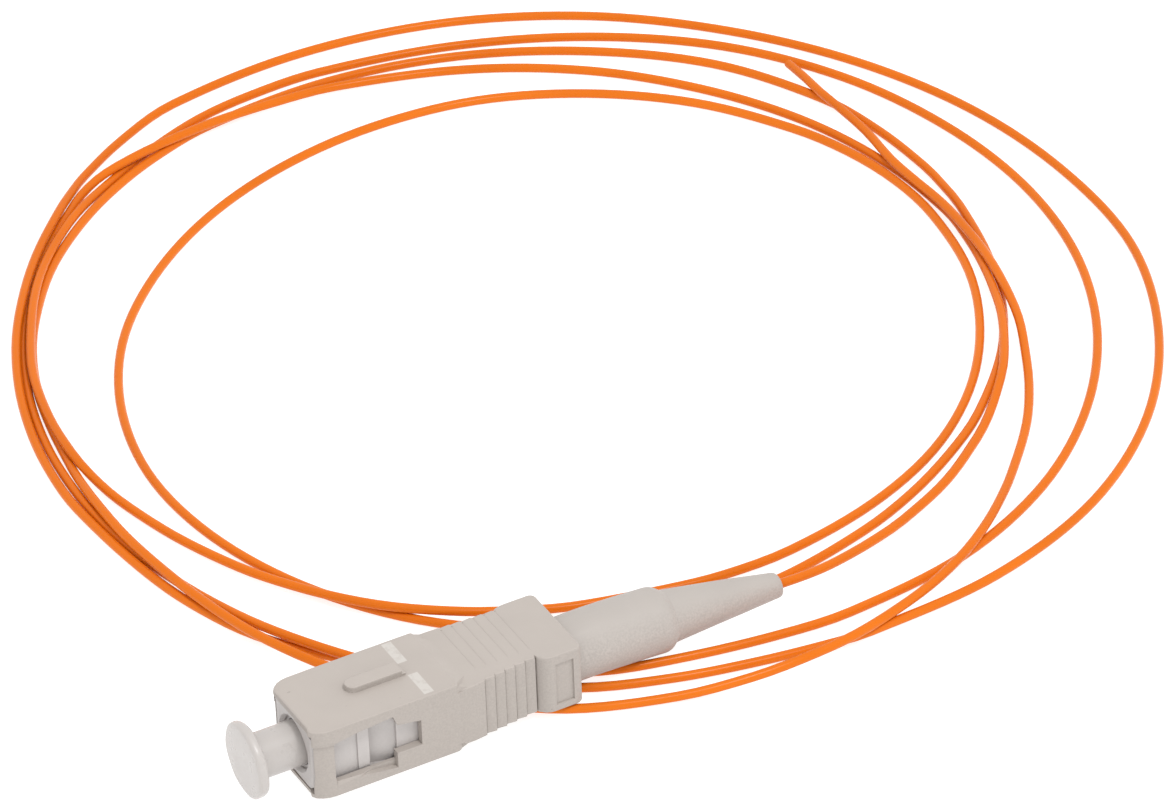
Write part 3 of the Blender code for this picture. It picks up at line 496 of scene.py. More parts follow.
def upright(material):
    """1 on upright faces and 0 on level ones, from the way that the surface faces."""
    geometry = material.node_tree.nodes.new("ShaderNodeNewGeometry")
    facing = split_vector(material, geometry.outputs["Normal"])
    level = calculate(material, "ABSOLUTE", facing["Z"], 0.0)
    return stretch(material, level, *LEVEL_FADE, 1.0, 0.0)


def set_shine(material, level):
    shader_of(material).inputs["Specular IOR Level"].default_value = level


def moulded_plastic(name, colour, roughness, painted_side_shade=1.0, side_grain=0.0, specks=0.0, soft=0.0):
    """Moulded plastic, slightly uneven, with a coarser grain on its sides, painted shade that darkens the
    sides, and a few specks if asked for.
    """
    material = new_material(name, colour, roughness)
    shader = shader_of(material)
    clouds = cloudy(material, CLOUD_SCALE, 4.0)
    dark, light = CLOUD_SHADES
    tint = mix_colour(material, clouds, tinted(colour, dark), tinted(colour, light))
    fine = stretch(material, noise(material, SIDE_GRAIN_SCALE, 2.0), *GRAIN_RANGE)
    # Painted shade: upright faces are darkened by painted_side_shade because light falls on them less than on
    # the top, and the grain varies around that darker colour
    darker = tinted(colour, painted_side_shade * (1 - side_grain))
    lighter = tinted(colour, painted_side_shade * (1 + side_grain))
    side = mix_colour(material, fine, darker, lighter)
    mixed = mix_colour(material, upright(material), tint, side)
    if specks:
        spots = stretch(material, noise(material, SPECK_SCALE, 2.0, 0.6), *SPECK_RANGE)
        patch = stretch(material, noise(material, SPECK_PATCH_SCALE, 2.0), *SPECK_PATCH_RANGE)
        mixed = mix_colour(material, product(material, spots, patch, specks), mixed, SPECK_BROWN)
    wire(material, mixed, shader.inputs["Base Color"])
    below, above = PLASTIC_SPREAD
    shine = cloudy(material, SHINE_SCALE, 3.0, roughness - below, roughness + above)
    wire(material, shine, shader.inputs["Roughness"])
    bump(material, noise(material, GRAIN_SCALE, 3.0, 0.6), GRAIN_STRENGTH, GRAIN_DEPTH)
    if soft:
        shader.inputs["Subsurface Weight"].default_value = soft
        shader.inputs["Subsurface Radius"].default_value = LIGHT_DEPTH_SHARES
        shader.inputs["Subsurface Scale"].default_value = LIGHT_DEPTH
    return material


def between(material, value, low, high, blur):
    """1 where a value lies between two limits, with soft edges."""
    rising = stretch(material, value, low - blur, low + blur)
    falling = stretch(material, value, high - blur, high + blur, 1.0, 0.0)
    return product(material, rising, falling)


def overlay(material, amount, colour):
    """Lays a colour over the material's own, as much as the amount's socket says."""
    base = shader_of(material).inputs["Base Color"]
    below = base.links[0].from_socket
    wire(material, mix_colour(material, amount, below, colour), base)


def add_painted_marks(material):
    """White paint on the housing's top beside the key, worn thin in places."""
    spot = split_vector(material, object_coordinates(material))
    along = between(material, spot["X"], NOSE_X + MARK_START, NOSE_X + MARK_END, MARK_BLUR)
    side = calculate(material, "ABSOLUTE", spot["Y"], 0.0)
    across = between(material, side, MARK_INNER, MARK_OUTER, MARK_BLUR)
    surface = AXIS_Z + FRONT_HEIGHT / 2
    top = stretch(material, spot["Z"], surface - MARK_DEEP, surface - MARK_SHALLOW)
    paint = noise(material, MARK_WEAR_SCALE, 3.0, 0.65)
    worn = stretch(material, paint, *MARK_WEAR_RANGE, *MARK_COVER)
    overlay(material, product(material, along, across, top, worn), MARK_WHITE)


def add_rib_step_shade(material):
    """Painted shade in the creases of the grip's rib steps, in patches, on the sides only."""
    spot = split_vector(material, object_coordinates(material))
    past = calculate(material, "SUBTRACT", spot["X"], NOSE_X + FIRST_RIB - RIB_PITCH / 2)
    within = calculate(material, "MODULO", past, RIB_PITCH)
    middle = RIB_PITCH / 2
    line = between(material, within, middle + RIB_STEP_START, middle + RIB_STEP, RIB_BLUR)
    grip = between(material, past, 0.0, RIB_COUNT * RIB_PITCH, GRIP_BLUR)
    patchy = stretch(material, noise(material, RIB_SHADE_SCALE, 3.0), *RIB_SHADE_RANGE, *RIB_SHADE_COVER)
    # Painted shade: a patchy dark line in each rib step's crease, on upright faces only
    overlay(material, product(material, line, grip, patchy, upright(material)), RIB_SHADE)


def fibre_plastic():
    """Orange buffer with faint unevenness and a soft shine."""
    material = new_material("fibre_orange", FIBRE_ORANGE, FIBRE_ROUGHNESS)
    shader = shader_of(material)
    clouds = cloudy(material, FIBRE_CLOUD_SCALE, 3.0)
    wire(material, mix_colour(material, clouds, FIBRE_DARK, FIBRE_LIGHT), shader.inputs["Base Color"])
    shine = cloudy(material, FIBRE_SHINE_SCALE, 2.0, *FIBRE_ROUGHNESS_RANGE)
    wire(material, shine, shader.inputs["Roughness"])
    set_shine(material, FIBRE_SHINE)
    bump(material, noise(material, FIBRE_GRAIN_SCALE, 2.0), FIBRE_GRAIN_STRENGTH, FIBRE_GRAIN_DEPTH)
    return material


def metal(name, colour, roughness):
    material = new_material(name, colour, roughness, 1.0)
    below, above = METAL_SPREAD
    uneven = cloudy(material, METAL_SCALE, 3.0, roughness - below, roughness + above)
    wire(material, uneven, shader_of(material).inputs["Roughness"])
    return material


def add_object(name, data):
    piece = bpy.data.objects.new(name, data)
    bpy.context.scene.collection.objects.link(piece)
    return piece


def boot_drop(x):
    """How far the boot's axis lies below the connector's at x from the nose, with the dip at its start."""
    past = max(0.0, x - BOOT_START - BOOT_LEVEL_LENGTH) / (BOOT_LENGTH - BOOT_LEVEL_LENGTH)
    share = clamped((x - BOOT_DIP_START) / BOOT_DIP_LENGTH)
    dip = BOOT_DIP * share**2 * (3 - 2 * share)
    return BOOT_LOW + dip + (BOOT_SAG - BOOT_DIP) * past**BOOT_SAG_POWER


def route_points():
    """The fibre's route in full: out of the boot along its sagging axis, then round the coil."""
    points = []
    for inside in (FIBRE_IN_BOOT, FIBRE_IN_BOOT / 2, 0.0):
        x = BOOT_START + BOOT_LENGTH - inside
        points.append((NOSE_X + x, 0.0, AXIS_Z - boot_drop(x)))
    centre_x, centre_y = COIL_CENTRE
    for heading, radius, height in ROUTE:
        turn = math.radians(heading)
        x = centre_x + radius * MM * math.cos(turn)
        y = centre_y + radius * MM * math.sin(turn)
        points.append((x, y, height * MM))
    return points


def smooth_path(points, step):
    """Points along a smooth curve through the given ones, about one step apart."""
    lengths = [math.dist(a, b) for a, b in zip(points, points[1:])]
    slopes = []
    for index in range(len(points)):
        before = max(index - 1, 0)
        after = min(index + 1, len(points) - 1)
        span = sum(lengths[before:after])
        slopes.append([(points[after][k] - points[before][k]) / span for k in range(3)])
    path = []
    for index, length in enumerate(lengths):
        pieces = max(2, round(length / step))
        for piece in range(pieces):
            t = piece / pieces
            blend = (2 * t**3 - 3 * t**2 + 1, t**3 - 2 * t**2 + t, -2 * t**3 + 3 * t**2, t**3 - t**2)
            path.append(
                tuple(
                    blend[0] * points[index][k]
                    + blend[1] * length * slopes[index][k]
                    + blend[2] * points[index + 1][k]
                    + blend[3] * length * slopes[index + 1][k]
                    for k in range(3)
                )
            )
    path.append(points[-1])
    return path


def make_fibre(material):
    """The fibre as one smooth round strand along its route, lying on the floor where it is lowest."""
    radius = FIBRE_DIAMETER / 2
    path = [(x, y, max(z, radius)) for x, y, z in smooth_path(route_points(), FIBRE_STEP)]
    curve = bpy.data.curves.new("orange_fibre", "CURVE")
    curve.dimensions = "3D"
    curve.bevel_depth = radius
    curve.bevel_resolution = 4
    curve.use_fill_caps = True
    spline = curve.splines.new("POLY")
    spline.points.add(len(path) - 1)
    for slot, point in zip(spline.points, path):
        slot.co = (*point, 1.0)
    spline.use_smooth = True
    curve.materials.append(material)
    fibre = add_object("orange_fibre", curve)
    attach(fibre, "connector_core")
    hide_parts("buffered_fibre")


def cleaned_copy(node_name, name, material):
    """A copy of a CAD node's shape with its flat faces joined up."""
    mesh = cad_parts[node_name].data.copy()
    mesh.name = name
    shape = bmesh.new()
    shape.from_mesh(mesh)
    bmesh.ops.remove_doubles(shape, verts=shape.verts, dist=SAME_POINT)
    bmesh.ops.dissolve_limit(
        shape,
        angle_limit=math.radians(FLAT_ANGLE),
        verts=shape.verts,
        edges=shape.edges,
        use_dissolve_boundaries=False,
    )
    shape.to_mesh(mesh)
    shape.free()
    mesh.materials.clear()
    mesh.materials.append(material)
    return add_object(name, mesh)


def apply_modifiers(piece):
    graph = bpy.context.evaluated_depsgraph_get()
    mesh = bpy.data.meshes.new_from_object(piece.evaluated_get(graph))
    piece.modifiers.clear()
    piece.data = mesh


def soften(piece, edge):
    """Rounds a piece's edges and shades it smooth."""
    modifier = piece.modifiers.new("soft_edges", "BEVEL")
    modifier.width = edge
    modifier.segments = 2
    modifier.limit_method = "ANGLE"
    modifier.angle_limit = math.radians(SOFT_ANGLE)
    modifier.use_clamp_overlap = True
    apply_modifiers(piece)
    piece.data.shade_smooth()
    piece.data.set_sharp_from_angle(angle=math.radians(SHARP_ANGLE))
    evened = piece.modifiers.new("flat_faces", "WEIGHTED_NORMAL")
    evened.mode = "FACE_AREA"
    evened.weight = 100
    evened.keep_sharp = True
    apply_modifiers(piece)


def point_at(x, y, height):
    """A point from its distance behind the nose, its y and its height above the axis."""
    return (NOSE_X + x, y, AXIS_Z + height)


def circle(x, radius, sides, lower=0.0):
    """Points round the connector's axis, or round one that lies lower, at x from the nose."""
    ring = []
    for step in range(sides):
        angle = 2 * math.pi * step / sides
        ring.append((NOSE_X + x, radius * math.cos(angle), AXIS_Z - lower + radius * math.sin(angle)))
    return ring


def arc(first, last, step):
    """Cosine and sine of the turns from the first down to the last, in whole degrees."""
    turns = [math.radians(turn) for turn in range(first, last - 1, -step)]
    return [(math.cos(turn), math.sin(turn)) for turn in turns]


def stacked(rings):
    """Vertices and faces of a closed solid over rings of equally many points."""
    count = len(rings[0])
    verts = [point for ring in rings for point in ring]
    faces = [tuple(range(count)), tuple(range((len(rings) - 1) * count, len(rings) * count))]
    for index in range(len(rings) - 1):
        here = index * count
        there = here + count
        for step in range(count):
            after = (step + 1) % count
            faces.append((here + step, here + after, there + after, there + step))
    return verts, faces


def ring_solid(rings):
    """Vertices and faces of a closed solid whose last ring joins its first."""
    verts, faces = stacked(rings + rings[:1])
    kept = len(rings) * len(rings[0])
    return verts[:kept], [tuple(index % kept for index in face) for face in faces[2:]]


def block(low, high):
    """A box between two corners, each (x from the nose, y, height above the axis)."""
    outline = ((low[0], low[1]), (high[0], low[1]), (high[0], high[1]), (low[0], high[1]))
    return stacked([[point_at(x, y, height) for x, y in outline] for height in (low[2], high[2])])


def side_block(side, start, end, inner, outer, low, high):
    """A box on one side, between two distances from the middle plane. side is -1 near the camera, 1 far."""
    edges = (side * inner, side * outer)
    return block((start, min(edges), low), (end, max(edges), high))


def plan_prism(side, outline, low, high):
    """An upright solid over (x, distance from the middle) points, between two heights above the axis."""
    return stacked([[point_at(x, side * y, height) for x, y in outline] for height in (low, high)])


def both_sides(shape):
    return [shape(side) for side in (-1, 1)]


def solid_object(name, solids, material=None):
    """One mesh object made of several closed solids, each (vertices, faces)."""
    verts = []
    faces = []
    for corners, sides in solids:
        start = len(verts)
        verts += corners
        faces += [tuple(start + index for index in side) for side in sides]
    mesh = bpy.data.meshes.new(name)
    mesh.from_pydata(verts, [], faces)
    shape = bmesh.new()
    shape.from_mesh(mesh)
    bmesh.ops.recalc_face_normals(shape, faces=shape.faces)
    shape.to_mesh(mesh)
    shape.free()
    if material:
        mesh.materials.append(material)
    return add_object(name, mesh)


def combine(piece, solids, operation="DIFFERENCE"):
    """Cuts closed solids out of a piece, or joins them to it."""
    tool = solid_object("shaping_tool", solids)
    modifier = piece.modifiers.new("shaping", "BOOLEAN")
    modifier.operation = operation
    modifier.solver = "EXACT"
    modifier.object = tool
    apply_modifiers(piece)
    bpy.data.objects.remove(tool, do_unlink=True)


def top_grooves():
    """Shallow grooves across the grip's top, each steeper on its front side."""
    top = REAR_HEIGHT / 2
    front, bottom, back = GROOVE_SECTION
    stations = (
        (GROOVE_NEAR_END, -OVERCUT / 2),
        (GROOVE_NEAR_END + GROOVE_FADE, GROOVE_DEPTH),
        (GROOVE_FAR_END, GROOVE_DEPTH),
    )
    solids = []
    for index in range(GROOVE_COUNT):
        x = FIRST_GROOVE + index * GROOVE_PITCH
        rings = []
        for y, depth in stations:
            outline = (
                (x + front * GROOVE_WIDTH, top + OVERCUT),
                (x + bottom * GROOVE_WIDTH, top - depth),
                (x + back * GROOVE_WIDTH, top + OVERCUT),
            )
            rings.append([point_at(along, y, height) for along, height in outline])
        solids.append(stacked(rings))
    return solids


def post_recess(side):
    """The shallow recess round the front post, with a slope at its foot."""
    half = FRONT_WIDTH / 2
    middle = half - NOSE_CORNER
    back = WINDOW_FRONT + OVERCUT
    levels = (
        (POST_FOOT, -OVERCUT),
        (POST_LOW, POST_RECESS),
        (POST_HIGH - POST_SLOPE, POST_RECESS),
        (POST_HIGH, -OVERCUT),
    )
    rings = []
    for height, depth in levels:
        outline = [(-BEYOND, FRONT_WIDTH), (-BEYOND, middle)]
        for turn in range(POST_TURN, 90, -POST_TURN_STEP):
            along = math.radians(turn)
            radius = NOSE_CORNER - depth * min(1.0, (POST_TURN - turn) / POST_FADE_TURN)
            outline.append((NOSE_CORNER + radius * math.cos(along), middle + radius * math.sin(along)))
        outline += [(back, half - depth), (back, FRONT_WIDTH)]
        rings.append([point_at(x, side * y, height) for x, y in outline])
    return stacked(rings)


def sill_chamfer(side):
    """The chamfer on the window's sill, which runs out where the pocket begins."""
    half = FRONT_WIDTH / 2
    top = WINDOW_SILL + OVERCUT
    rings = []
    for x, size in ((SILL_CHAMFER_START, SILL_CHAMFER), (POCKET_FULL, -OVERCUT)):
        outline = (
            (half - size, top),
            (half + BEYOND, top),
            (half + BEYOND, WINDOW_SILL - size - BEYOND),
            (half, WINDOW_SILL - size),
        )
        rings.append([point_at(x, side * y, height) for y, height in outline])
    return stacked(rings)


def sill_pocket(side):
    """The pocket that curves into the wall below the sill and ends at the block."""
    half = FRONT_WIDTH / 2
    rings = []
    for share in POCKET_SHARES:
        x = min(POCKET_START + share * (POCKET_FULL - POCKET_START), BLOCK_START)
        inward = min(share, 1.0)
        depth = POCKET_DEPTH * inward**2 * (3 - 2 * inward) - OVERCUT
        fall = (x - POCKET_START) / (BLOCK_START - POCKET_START)
        low = POCKET_LOW_FRONT + fall * (POCKET_LOW_BACK - POCKET_LOW_FRONT)
        outline = (
            (half - depth, low),
            (half - depth, POCKET_HIGH),
            (FRONT_WIDTH, POCKET_HIGH),
            (FRONT_WIDTH, low - POCKET_FALL),
        )
        rings.append([point_at(x, side * y, height) for y, height in outline])
    return stacked(rings)


def shoulder_filler(side):
    """Fills the seam between the front and the rear section's side."""
    half = FRONT_WIDTH / 2
    reach = REAR_HEIGHT / 2 - EDGE_ROUNDING
    outline = (
        (FILLER_START, half - FILLER_DEPTH),
        (FILLER_START, half - FILLER_INSET),
        (FILLER_END, half + FILLER_RISE),
        (FILLER_END, half - FILLER_DEPTH),
    )
    return plan_prism(side, outline, -reach, reach)


def shoulder_ramp(side):
    """Fills the corner beside the slope on top, where the front section ends."""
    half = FRONT_WIDTH / 2
    outline = (
        (RAMP_START, RAMP_FOOT),
        (RAMP_START, RAMP_HIGH),
        (RAMP_SLOPE_START, RAMP_HIGH),
        (RAMP_SLOPE_END, RAMP_LOW),
        (RAMP_SLOPE_END, RAMP_FOOT),
    )
    rings = []
    for y in (half - RAMP_DEPTH, half - RAMP_INSET):
        rings.append([point_at(x, side * y, height) for x, height in outline])
    return stacked(rings)


def shoulder_trim(side):
    """What the rear section's side loses at its start, so that it goes on smoothly from the front section."""
    outline = (
        (TRIM_START, TRIM_START_SIDE),
        (TRIM_END, TRIM_END_SIDE),
        (TRIM_END, REAR_WIDTH),
        (TRIM_START, REAR_WIDTH),
    )
    return plan_prism(side, outline, -FRONT_HEIGHT, FRONT_HEIGHT)


def nose_reach(y):
    """How far the shell's nose is drawn forward at a distance from its middle plane."""
    half = FRONT_WIDTH / 2
    share = clamped((y + half) / FRONT_WIDTH)
    corner = clamped((half + min(y, 0.0)) / NOSE_CORNER)
    return NEAR_REACH + share * (FAR_REACH - NEAR_REACH) + NEAR_CORNER_REACH * 4 * corner * (1 - corner)


def make_housing(material):
    """The grip shell with its recesses, pockets and fine grooves, and softened edges."""
    housing = cleaned_copy("outer_housing", "grip_shell", material)
    combine(housing, both_sides(shoulder_filler), "UNION")
    combine(housing, both_sides(shoulder_ramp), "UNION")
    combine(housing, both_sides(shoulder_trim))
    foot_top = FRONT_HEIGHT / 2 + KEY_FOOT_HEIGHT
    key_cut = block(
        (KEY_END - KEY_FOOT_LENGTH, -KEY_CUT_SIDE, foot_top), (KEY_END + BEYOND, KEY_CUT_SIDE, FRONT_HEIGHT)
    )
    combine(housing, top_grooves() + [key_cut])
    for shape in (post_recess, sill_chamfer, sill_pocket):
        combine(housing, both_sides(shape))
    for vertex in housing.data.vertices:
        ahead = WINDOW_FRONT - (vertex.co.x - NOSE_X)
        if ahead > 0:
            vertex.co.x -= nose_reach(vertex.co.y) * ahead / WINDOW_FRONT
    soften(housing, HOUSING_EDGE)
    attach(housing, "housing")
    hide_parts("outer_housing")


def frame_corner(side, level):
    """What a rounded front corner takes off the inner frame. level is -1 at its foot and 1 at its top."""
    middle_y = COLLAR_SIDE - FRAME_CORNER
    middle_z = COLLAR_TOP - FRAME_CORNER
    far_y = COLLAR_SIDE + FRAME_CORNER_CUT
    far_z = COLLAR_TOP + FRAME_CORNER_CUT
    outline = [(far_y, middle_z), (far_y, far_z), (middle_y, far_z)]
    for cosine, sine in arc(90, 0, 10):
        outline.append((middle_y + FRAME_CORNER * cosine, middle_z + FRAME_CORNER * sine))
    rings = []
    for x in (-BEYOND, FRAME_CORNER_END):
        rings.append([point_at(x, side * y, level * height) for y, height in outline])
    return stacked(rings)


def frame_round(side):
    """What the rounded front edge takes off a side of the inner frame, seen from above."""
    outline = [
        (FRAME_FRONT - BEYOND, 2 * COLLAR_SIDE),
        (FRAME_FRONT - BEYOND, COLLAR_SIDE - FRAME_ROUND_WIDTH),
    ]
    for cosine, sine in arc(180, 90, 15):
        x = FRAME_FRONT + FRAME_ROUND_LENGTH * (1 + cosine)
        outline.append((x, COLLAR_SIDE - FRAME_ROUND_WIDTH * (1 - sine)))
    outline.append((FRAME_FRONT + FRAME_ROUND_LENGTH, 2 * COLLAR_SIDE))
    return plan_prism(side, outline, -FRONT_HEIGHT, FRONT_HEIGHT)


def catch_foot(side):
    """Takes the catch's hollow down below the window's sill."""
    outside = 1.5 * FRAME_SIDE
    outline = (
        (CATCH_START, outside),
        (CATCH_START, FRAME_SIDE - CATCH_DEPTH),
        (CATCH_END, FRAME_SIDE),
        (CATCH_END, outside),
    )
    return plan_prism(side, outline, DETAIL_LOW, DETAIL_HIGH)


def collar_side(side):
    inner = FRAME_SIDE - FRAME_SIDE_LAP
    return side_block(side, FRAME_FRONT, COLLAR_END, inner, COLLAR_SIDE, -COLLAR_TOP, COLLAR_TOP)


def sleeve_lip():
    """A narrow lip in the frame's sleeve, just clear of the cap's shank."""
    section = ((LIP_START, LIP_OUTER), (LIP_START, LIP_INNER), (LIP_END, LIP_INNER), (LIP_END, LIP_OUTER))
    return ring_solid([circle(x, radius, LIP_SIDES) for x, radius in section])


def make_frame_insert(material):
    """The inner frame with a rounded front and a pad on each side behind its catch."""
    insert = cleaned_copy("plug_frame", "plug_frame_shell", material)
    top_in = FRAME_TOP - FRAME_TOP_LAP
    combine(insert, both_sides(collar_side), "UNION")
    combine(insert, [
        block((FRAME_FRONT, -COLLAR_SIDE, -COLLAR_TOP), (COLLAR_END, COLLAR_SIDE, -top_in)),
        block((FRAME_FRONT, -COLLAR_SIDE, top_in), (COLLAR_END, COLLAR_SIDE, COLLAR_TOP)),
    ], "UNION")
    combine(insert, both_sides(frame_round))
    combine(insert, both_sides(catch_foot))
    combine(insert, [frame_corner(side, level) for side in (-1, 1) for level in (-1, 1)])
    inner = FRAME_SIDE - FRAME_SIDE_LAP
    pads = []
    for side in (-1, 1):
        pads.append(side_block(side, PAD_START, PAD_END, inner, PAD_SIDE, PAD_LOW, PAD_HIGH))
        pads.append(side_block(side, RIDGE_START, CATCH_START, inner, RIDGE_SIDE, DETAIL_LOW, DETAIL_HIGH))
    combine(insert, pads, "UNION")
    combine(insert, [sleeve_lip()], "UNION")
    soften(insert, FRAME_EDGE)
    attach(insert, "connector_core")
    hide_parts("plug_frame")


def rounded(points):
    """A profile of (x, radius, rounding) corners, with each rounded one turned into an arc."""
    out = []
    for index, (x, y, bend) in enumerate(points):
        if not bend:
            out.append((x, y))
            continue
        before = Vector(points[index - 1][:2])
        here = Vector((x, y))
        after = Vector(points[(index + 1) % len(points)][:2])
        first = here + (before - here).normalized() * bend
        last = here + (after - here).normalized() * bend
        for step in range(ROUND_STEPS + 1):
            t = step / ROUND_STEPS
            point = first * (1 - t) ** 2 + here * 2 * t * (1 - t) + last * t**2
            out.append((point.x, point.y))
    return out


def spread(profile, longest):
    """The same profile with its long straight stretches split, so that it can follow a bent axis."""
    out = []
    for (x, y), (next_x, next_y) in zip(profile, profile[1:] + profile[:1]):
        pieces = max(1, math.ceil(abs(next_x - x) / longest))
        for piece in range(pieces):
            share = piece / pieces
            out.append((x + share * (next_x - x), y + share * (next_y - y)))
    return out


def turned_piece(name, rings, material):
    """A solid over rings about an axis, shaded smooth but for its sharp edges."""
    piece = solid_object(name, [rings], material)
    piece.data.shade_smooth()
    piece.data.set_sharp_from_angle(angle=math.radians(TURNED_SHARP_ANGLE))
    return piece


def make_dust_cap(material):
    """The round cap: a thin finger disc and a hollow shank with soft edges."""
    disc = CAP_DISC_DIAMETER / 2
    shank = CAP_SHANK_DIAMETER / 2
    back = CAP_FRONT + CAP_DISC_THICKNESS
    profile = rounded([
        (CAP_FRONT + CAP_DISH, CAP_AXIS_GAP, 0.0),
        (CAP_FRONT, CAP_FLAT_SHARE * disc, 0.0),
        (CAP_FRONT + CAP_FRONT_SLOPE, disc, CAP_FRONT_ROUND),
        (back - CAP_BACK_SLOPE, disc, CAP_BACK_ROUND),
        (back, shank, CAP_FILLET),
        (CAP_BORE_END, shank, CAP_SHANK_ROUND),
        (CAP_BORE_END, CAP_BORE / 2, 0.0),
        (CAP_BORE_START, CAP_BORE / 2, CAP_BORE_ROUND),
        (CAP_BORE_START, CAP_AXIS_GAP, 0.0),
    ])
    rings = [circle(x, radius, CAP_SIDES) for x, radius in profile]
    cap = turned_piece("finger_cap", stacked(rings), material)
    for vertex in cap.data.vertices:
        across = vertex.co.y
        height = vertex.co.z - AXIS_Z
        if math.hypot(across, height) > shank + DISC_CLEAR:
            lobe = math.cos(DISC_LOBES * math.atan2(height, across) + DISC_LOBE_TURN)
            scale = 1 - DISC_UNEVEN * (1 - lobe) / 2
            vertex.co.y = scale * across
            vertex.co.z = AXIS_Z + max(DISC_FLAT, scale * height)
    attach(cap, "cap")
    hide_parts("dust_cap")


def make_boot(material):
    """The soft boot: a barrel, a short step and a long taper that sags a little."""
    barrel = BOOT_BARREL_DIAMETER / 2
    step = BOOT_STEP_DIAMETER / 2
    middle = BOOT_MIDDLE_DIAMETER / 2
    tip = BOOT_TIP_DIAMETER / 2
    barrel_end = BOOT_START + BOOT_BARREL_LENGTH
    middle_x = barrel_end + BOOT_STEP_LENGTH + BOOT_UPPER_TAPER
    end = BOOT_START + BOOT_LENGTH - BOOT_TIP_TRIM
    profile = rounded([
        (BOOT_NECK_START, BOOT_NECK_BORE / 2, 0.0),
        (BOOT_NECK_START, BOOT_NECK_DIAMETER / 2, 0.0),
        (BOOT_START - BOOT_REACH, BOOT_NECK_DIAMETER / 2, 0.0),
        (BOOT_START - BOOT_REACH, barrel, BOOT_START_ROUND),
        (barrel_end + BOOT_STEP_PLACE, barrel, BOOT_STEP_ROUND),
        (barrel_end + BOOT_SEAM_PLACE, step, BOOT_SEAM_ROUND),
        (middle_x, middle, 0.0),
        (end, tip, BOOT_TIP_ROUND),
        (end, BOOT_BORE / 2, 0.0),
        (BOOT_NECK_BORE_END, BOOT_BORE / 2, 0.0),
        (BOOT_NECK_BORE_END, BOOT_NECK_BORE / 2, 0.0),
    ])
    stations = spread(profile, BOOT_LONGEST_STRETCH)
    rings = [circle(x, radius, BOOT_SIDES, boot_drop(x)) for x, radius in stations]
    boot = turned_piece("soft_boot", ring_solid(rings), material)
    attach(boot, "connector_core")
    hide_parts("strain_relief_boot")


def make_camera():
    """The camera, which looks at its target from its azimuth and elevation, turned by its roll."""
    azimuth = math.radians(CAMERA_AZIMUTH)
    elevation = math.radians(CAMERA_ELEVATION)
    roll = math.radians(CAMERA_ROLL)
    away = Vector((math.sin(azimuth), math.cos(azimuth), 0.0))
    right = Vector((math.cos(azimuth), -math.sin(azimuth), 0.0))
    up = Vector((0.0, 0.0, 1.0))
    forward = away * math.cos(elevation) - up * math.sin(elevation)
    over = away * math.sin(elevation) + up * math.cos(elevation)
    side = right * math.cos(roll) + over * math.sin(roll)
    top = -right * math.sin(roll) + over * math.cos(roll)
    data = bpy.data.cameras.new("camera")
    data.sensor_fit = "HORIZONTAL"
    data.sensor_width = SENSOR_WIDTH
    data.lens = CAMERA_LENS
    data.clip_start = CAMERA_NEAR
    data.clip_end = CAMERA_FAR
    camera = add_object("camera", data)
    place = Vector(CAMERA_TARGET) - forward * CAMERA_DISTANCE
    turn = Matrix((side, top, -forward)).transposed().to_4x4()
    camera.matrix_world = Matrix.Translation(place) @ turn
    bpy.context.scene.camera = camera


def make_key_light():
    data = bpy.data.lights.new("small_key", "AREA")
    data.shape = "DISK"
    data.size = KEY_SIZE
    data.energy = KEY_POWER
    light = add_object("small_key", data)
    light.location = KEY_PLACE
    aim = Vector(KEY_TARGET) - Vector(KEY_PLACE)
    light.rotation_euler = aim.to_track_quat("-Z", "Y").to_euler()


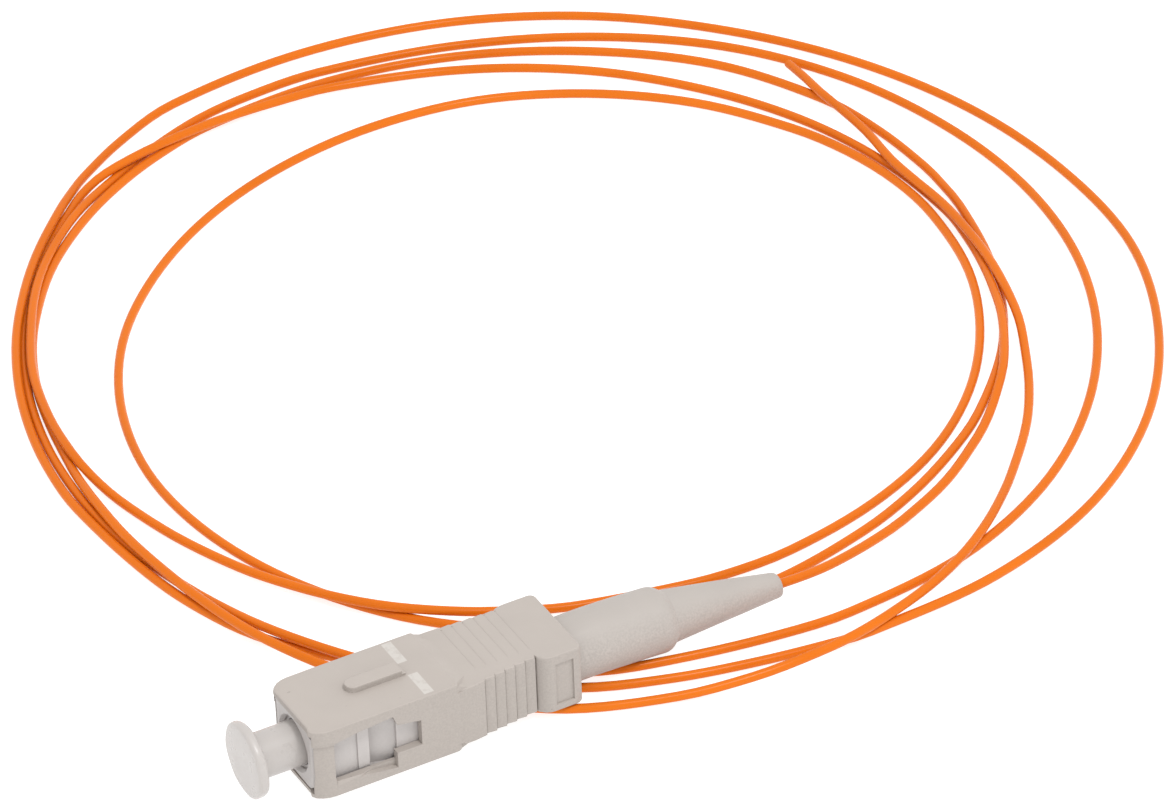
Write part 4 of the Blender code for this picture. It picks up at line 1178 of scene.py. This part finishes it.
def make_stage():
    """Even light from all round, one small lamp, and the white floor."""
    world = bpy.data.worlds.new("studio")
    bpy.context.scene.world = world
    world.use_nodes = True
    background = world.node_tree.nodes["Background"]
    background.inputs["Color"].default_value = WHITE
    background.inputs["Strength"].default_value = WORLD_STRENGTH
    make_key_light()
    corners = [(FLOOR_REACH * x, FLOOR_REACH * y, 0.0) for x, y in ((-1, -1), (1, -1), (1, 1), (-1, 1))]
    mesh = bpy.data.meshes.new("floor")
    mesh.from_pydata(corners, [], [(0, 1, 2, 3)])
    floor = add_object("floor", mesh)
    paper = new_material("white_floor", FLOOR_GREY, FLOOR_ROUGHNESS)
    shader_of(paper).inputs["Emission Color"].default_value = WHITE
    shader_of(paper).inputs["Emission Strength"].default_value = FLOOR_GLOW
    mesh.materials.append(paper)


def paint_node(name, material):
    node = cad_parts[name]
    node.data.materials.clear()
    node.data.materials.append(material)


def main():
    make_camera()
    make_stage()
    bpy.context.scene.view_settings.view_transform = "Standard"
    # The housing's sides are painted darker as shade, by the side factor below
    housing_plastic = moulded_plastic(
        "housing_beige", HOUSING_BEIGE, roughness=0.5, painted_side_shade=0.91, side_grain=0.045, specks=0.8
    )
    add_painted_marks(housing_plastic)
    # Painted shade in the creases of the rib steps
    add_rib_step_shade(housing_plastic)
    set_shine(housing_plastic, HOUSING_SHINE)
    frame_plastic = moulded_plastic("frame_white", FRAME_WHITE, roughness=0.4, side_grain=0.02, soft=0.1)
    cap_plastic = moulded_plastic(
        "cap_white", CAP_WHITE, roughness=0.3, side_grain=0.015, specks=0.6, soft=0.1
    )
    set_shine(cap_plastic, CAP_SHINE)
    boot_plastic = moulded_plastic("boot_beige", BOOT_BEIGE, roughness=0.55, side_grain=0.08)
    make_fibre(fibre_plastic())
    make_housing(housing_plastic)
    make_frame_insert(frame_plastic)
    make_dust_cap(cap_plastic)
    make_boot(boot_plastic)
    paint_node("ferrule", moulded_plastic("ferrule_ceramic", FERRULE_WHITE, roughness=0.12))
    paint_node("ferrule_flange", metal("flange_nickel", FLANGE_NICKEL, roughness=0.3))
    paint_node("ferrule_spring", metal("spring_steel", SPRING_STEEL, roughness=0.28))
    paint_node("stop_ring", metal("ring_nickel", RING_NICKEL, roughness=0.33))


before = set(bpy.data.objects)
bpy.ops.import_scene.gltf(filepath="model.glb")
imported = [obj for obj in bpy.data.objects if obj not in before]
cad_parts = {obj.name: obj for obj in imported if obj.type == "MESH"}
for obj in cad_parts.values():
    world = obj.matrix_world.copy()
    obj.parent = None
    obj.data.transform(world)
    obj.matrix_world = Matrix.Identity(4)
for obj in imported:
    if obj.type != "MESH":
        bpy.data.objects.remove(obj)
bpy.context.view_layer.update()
main()
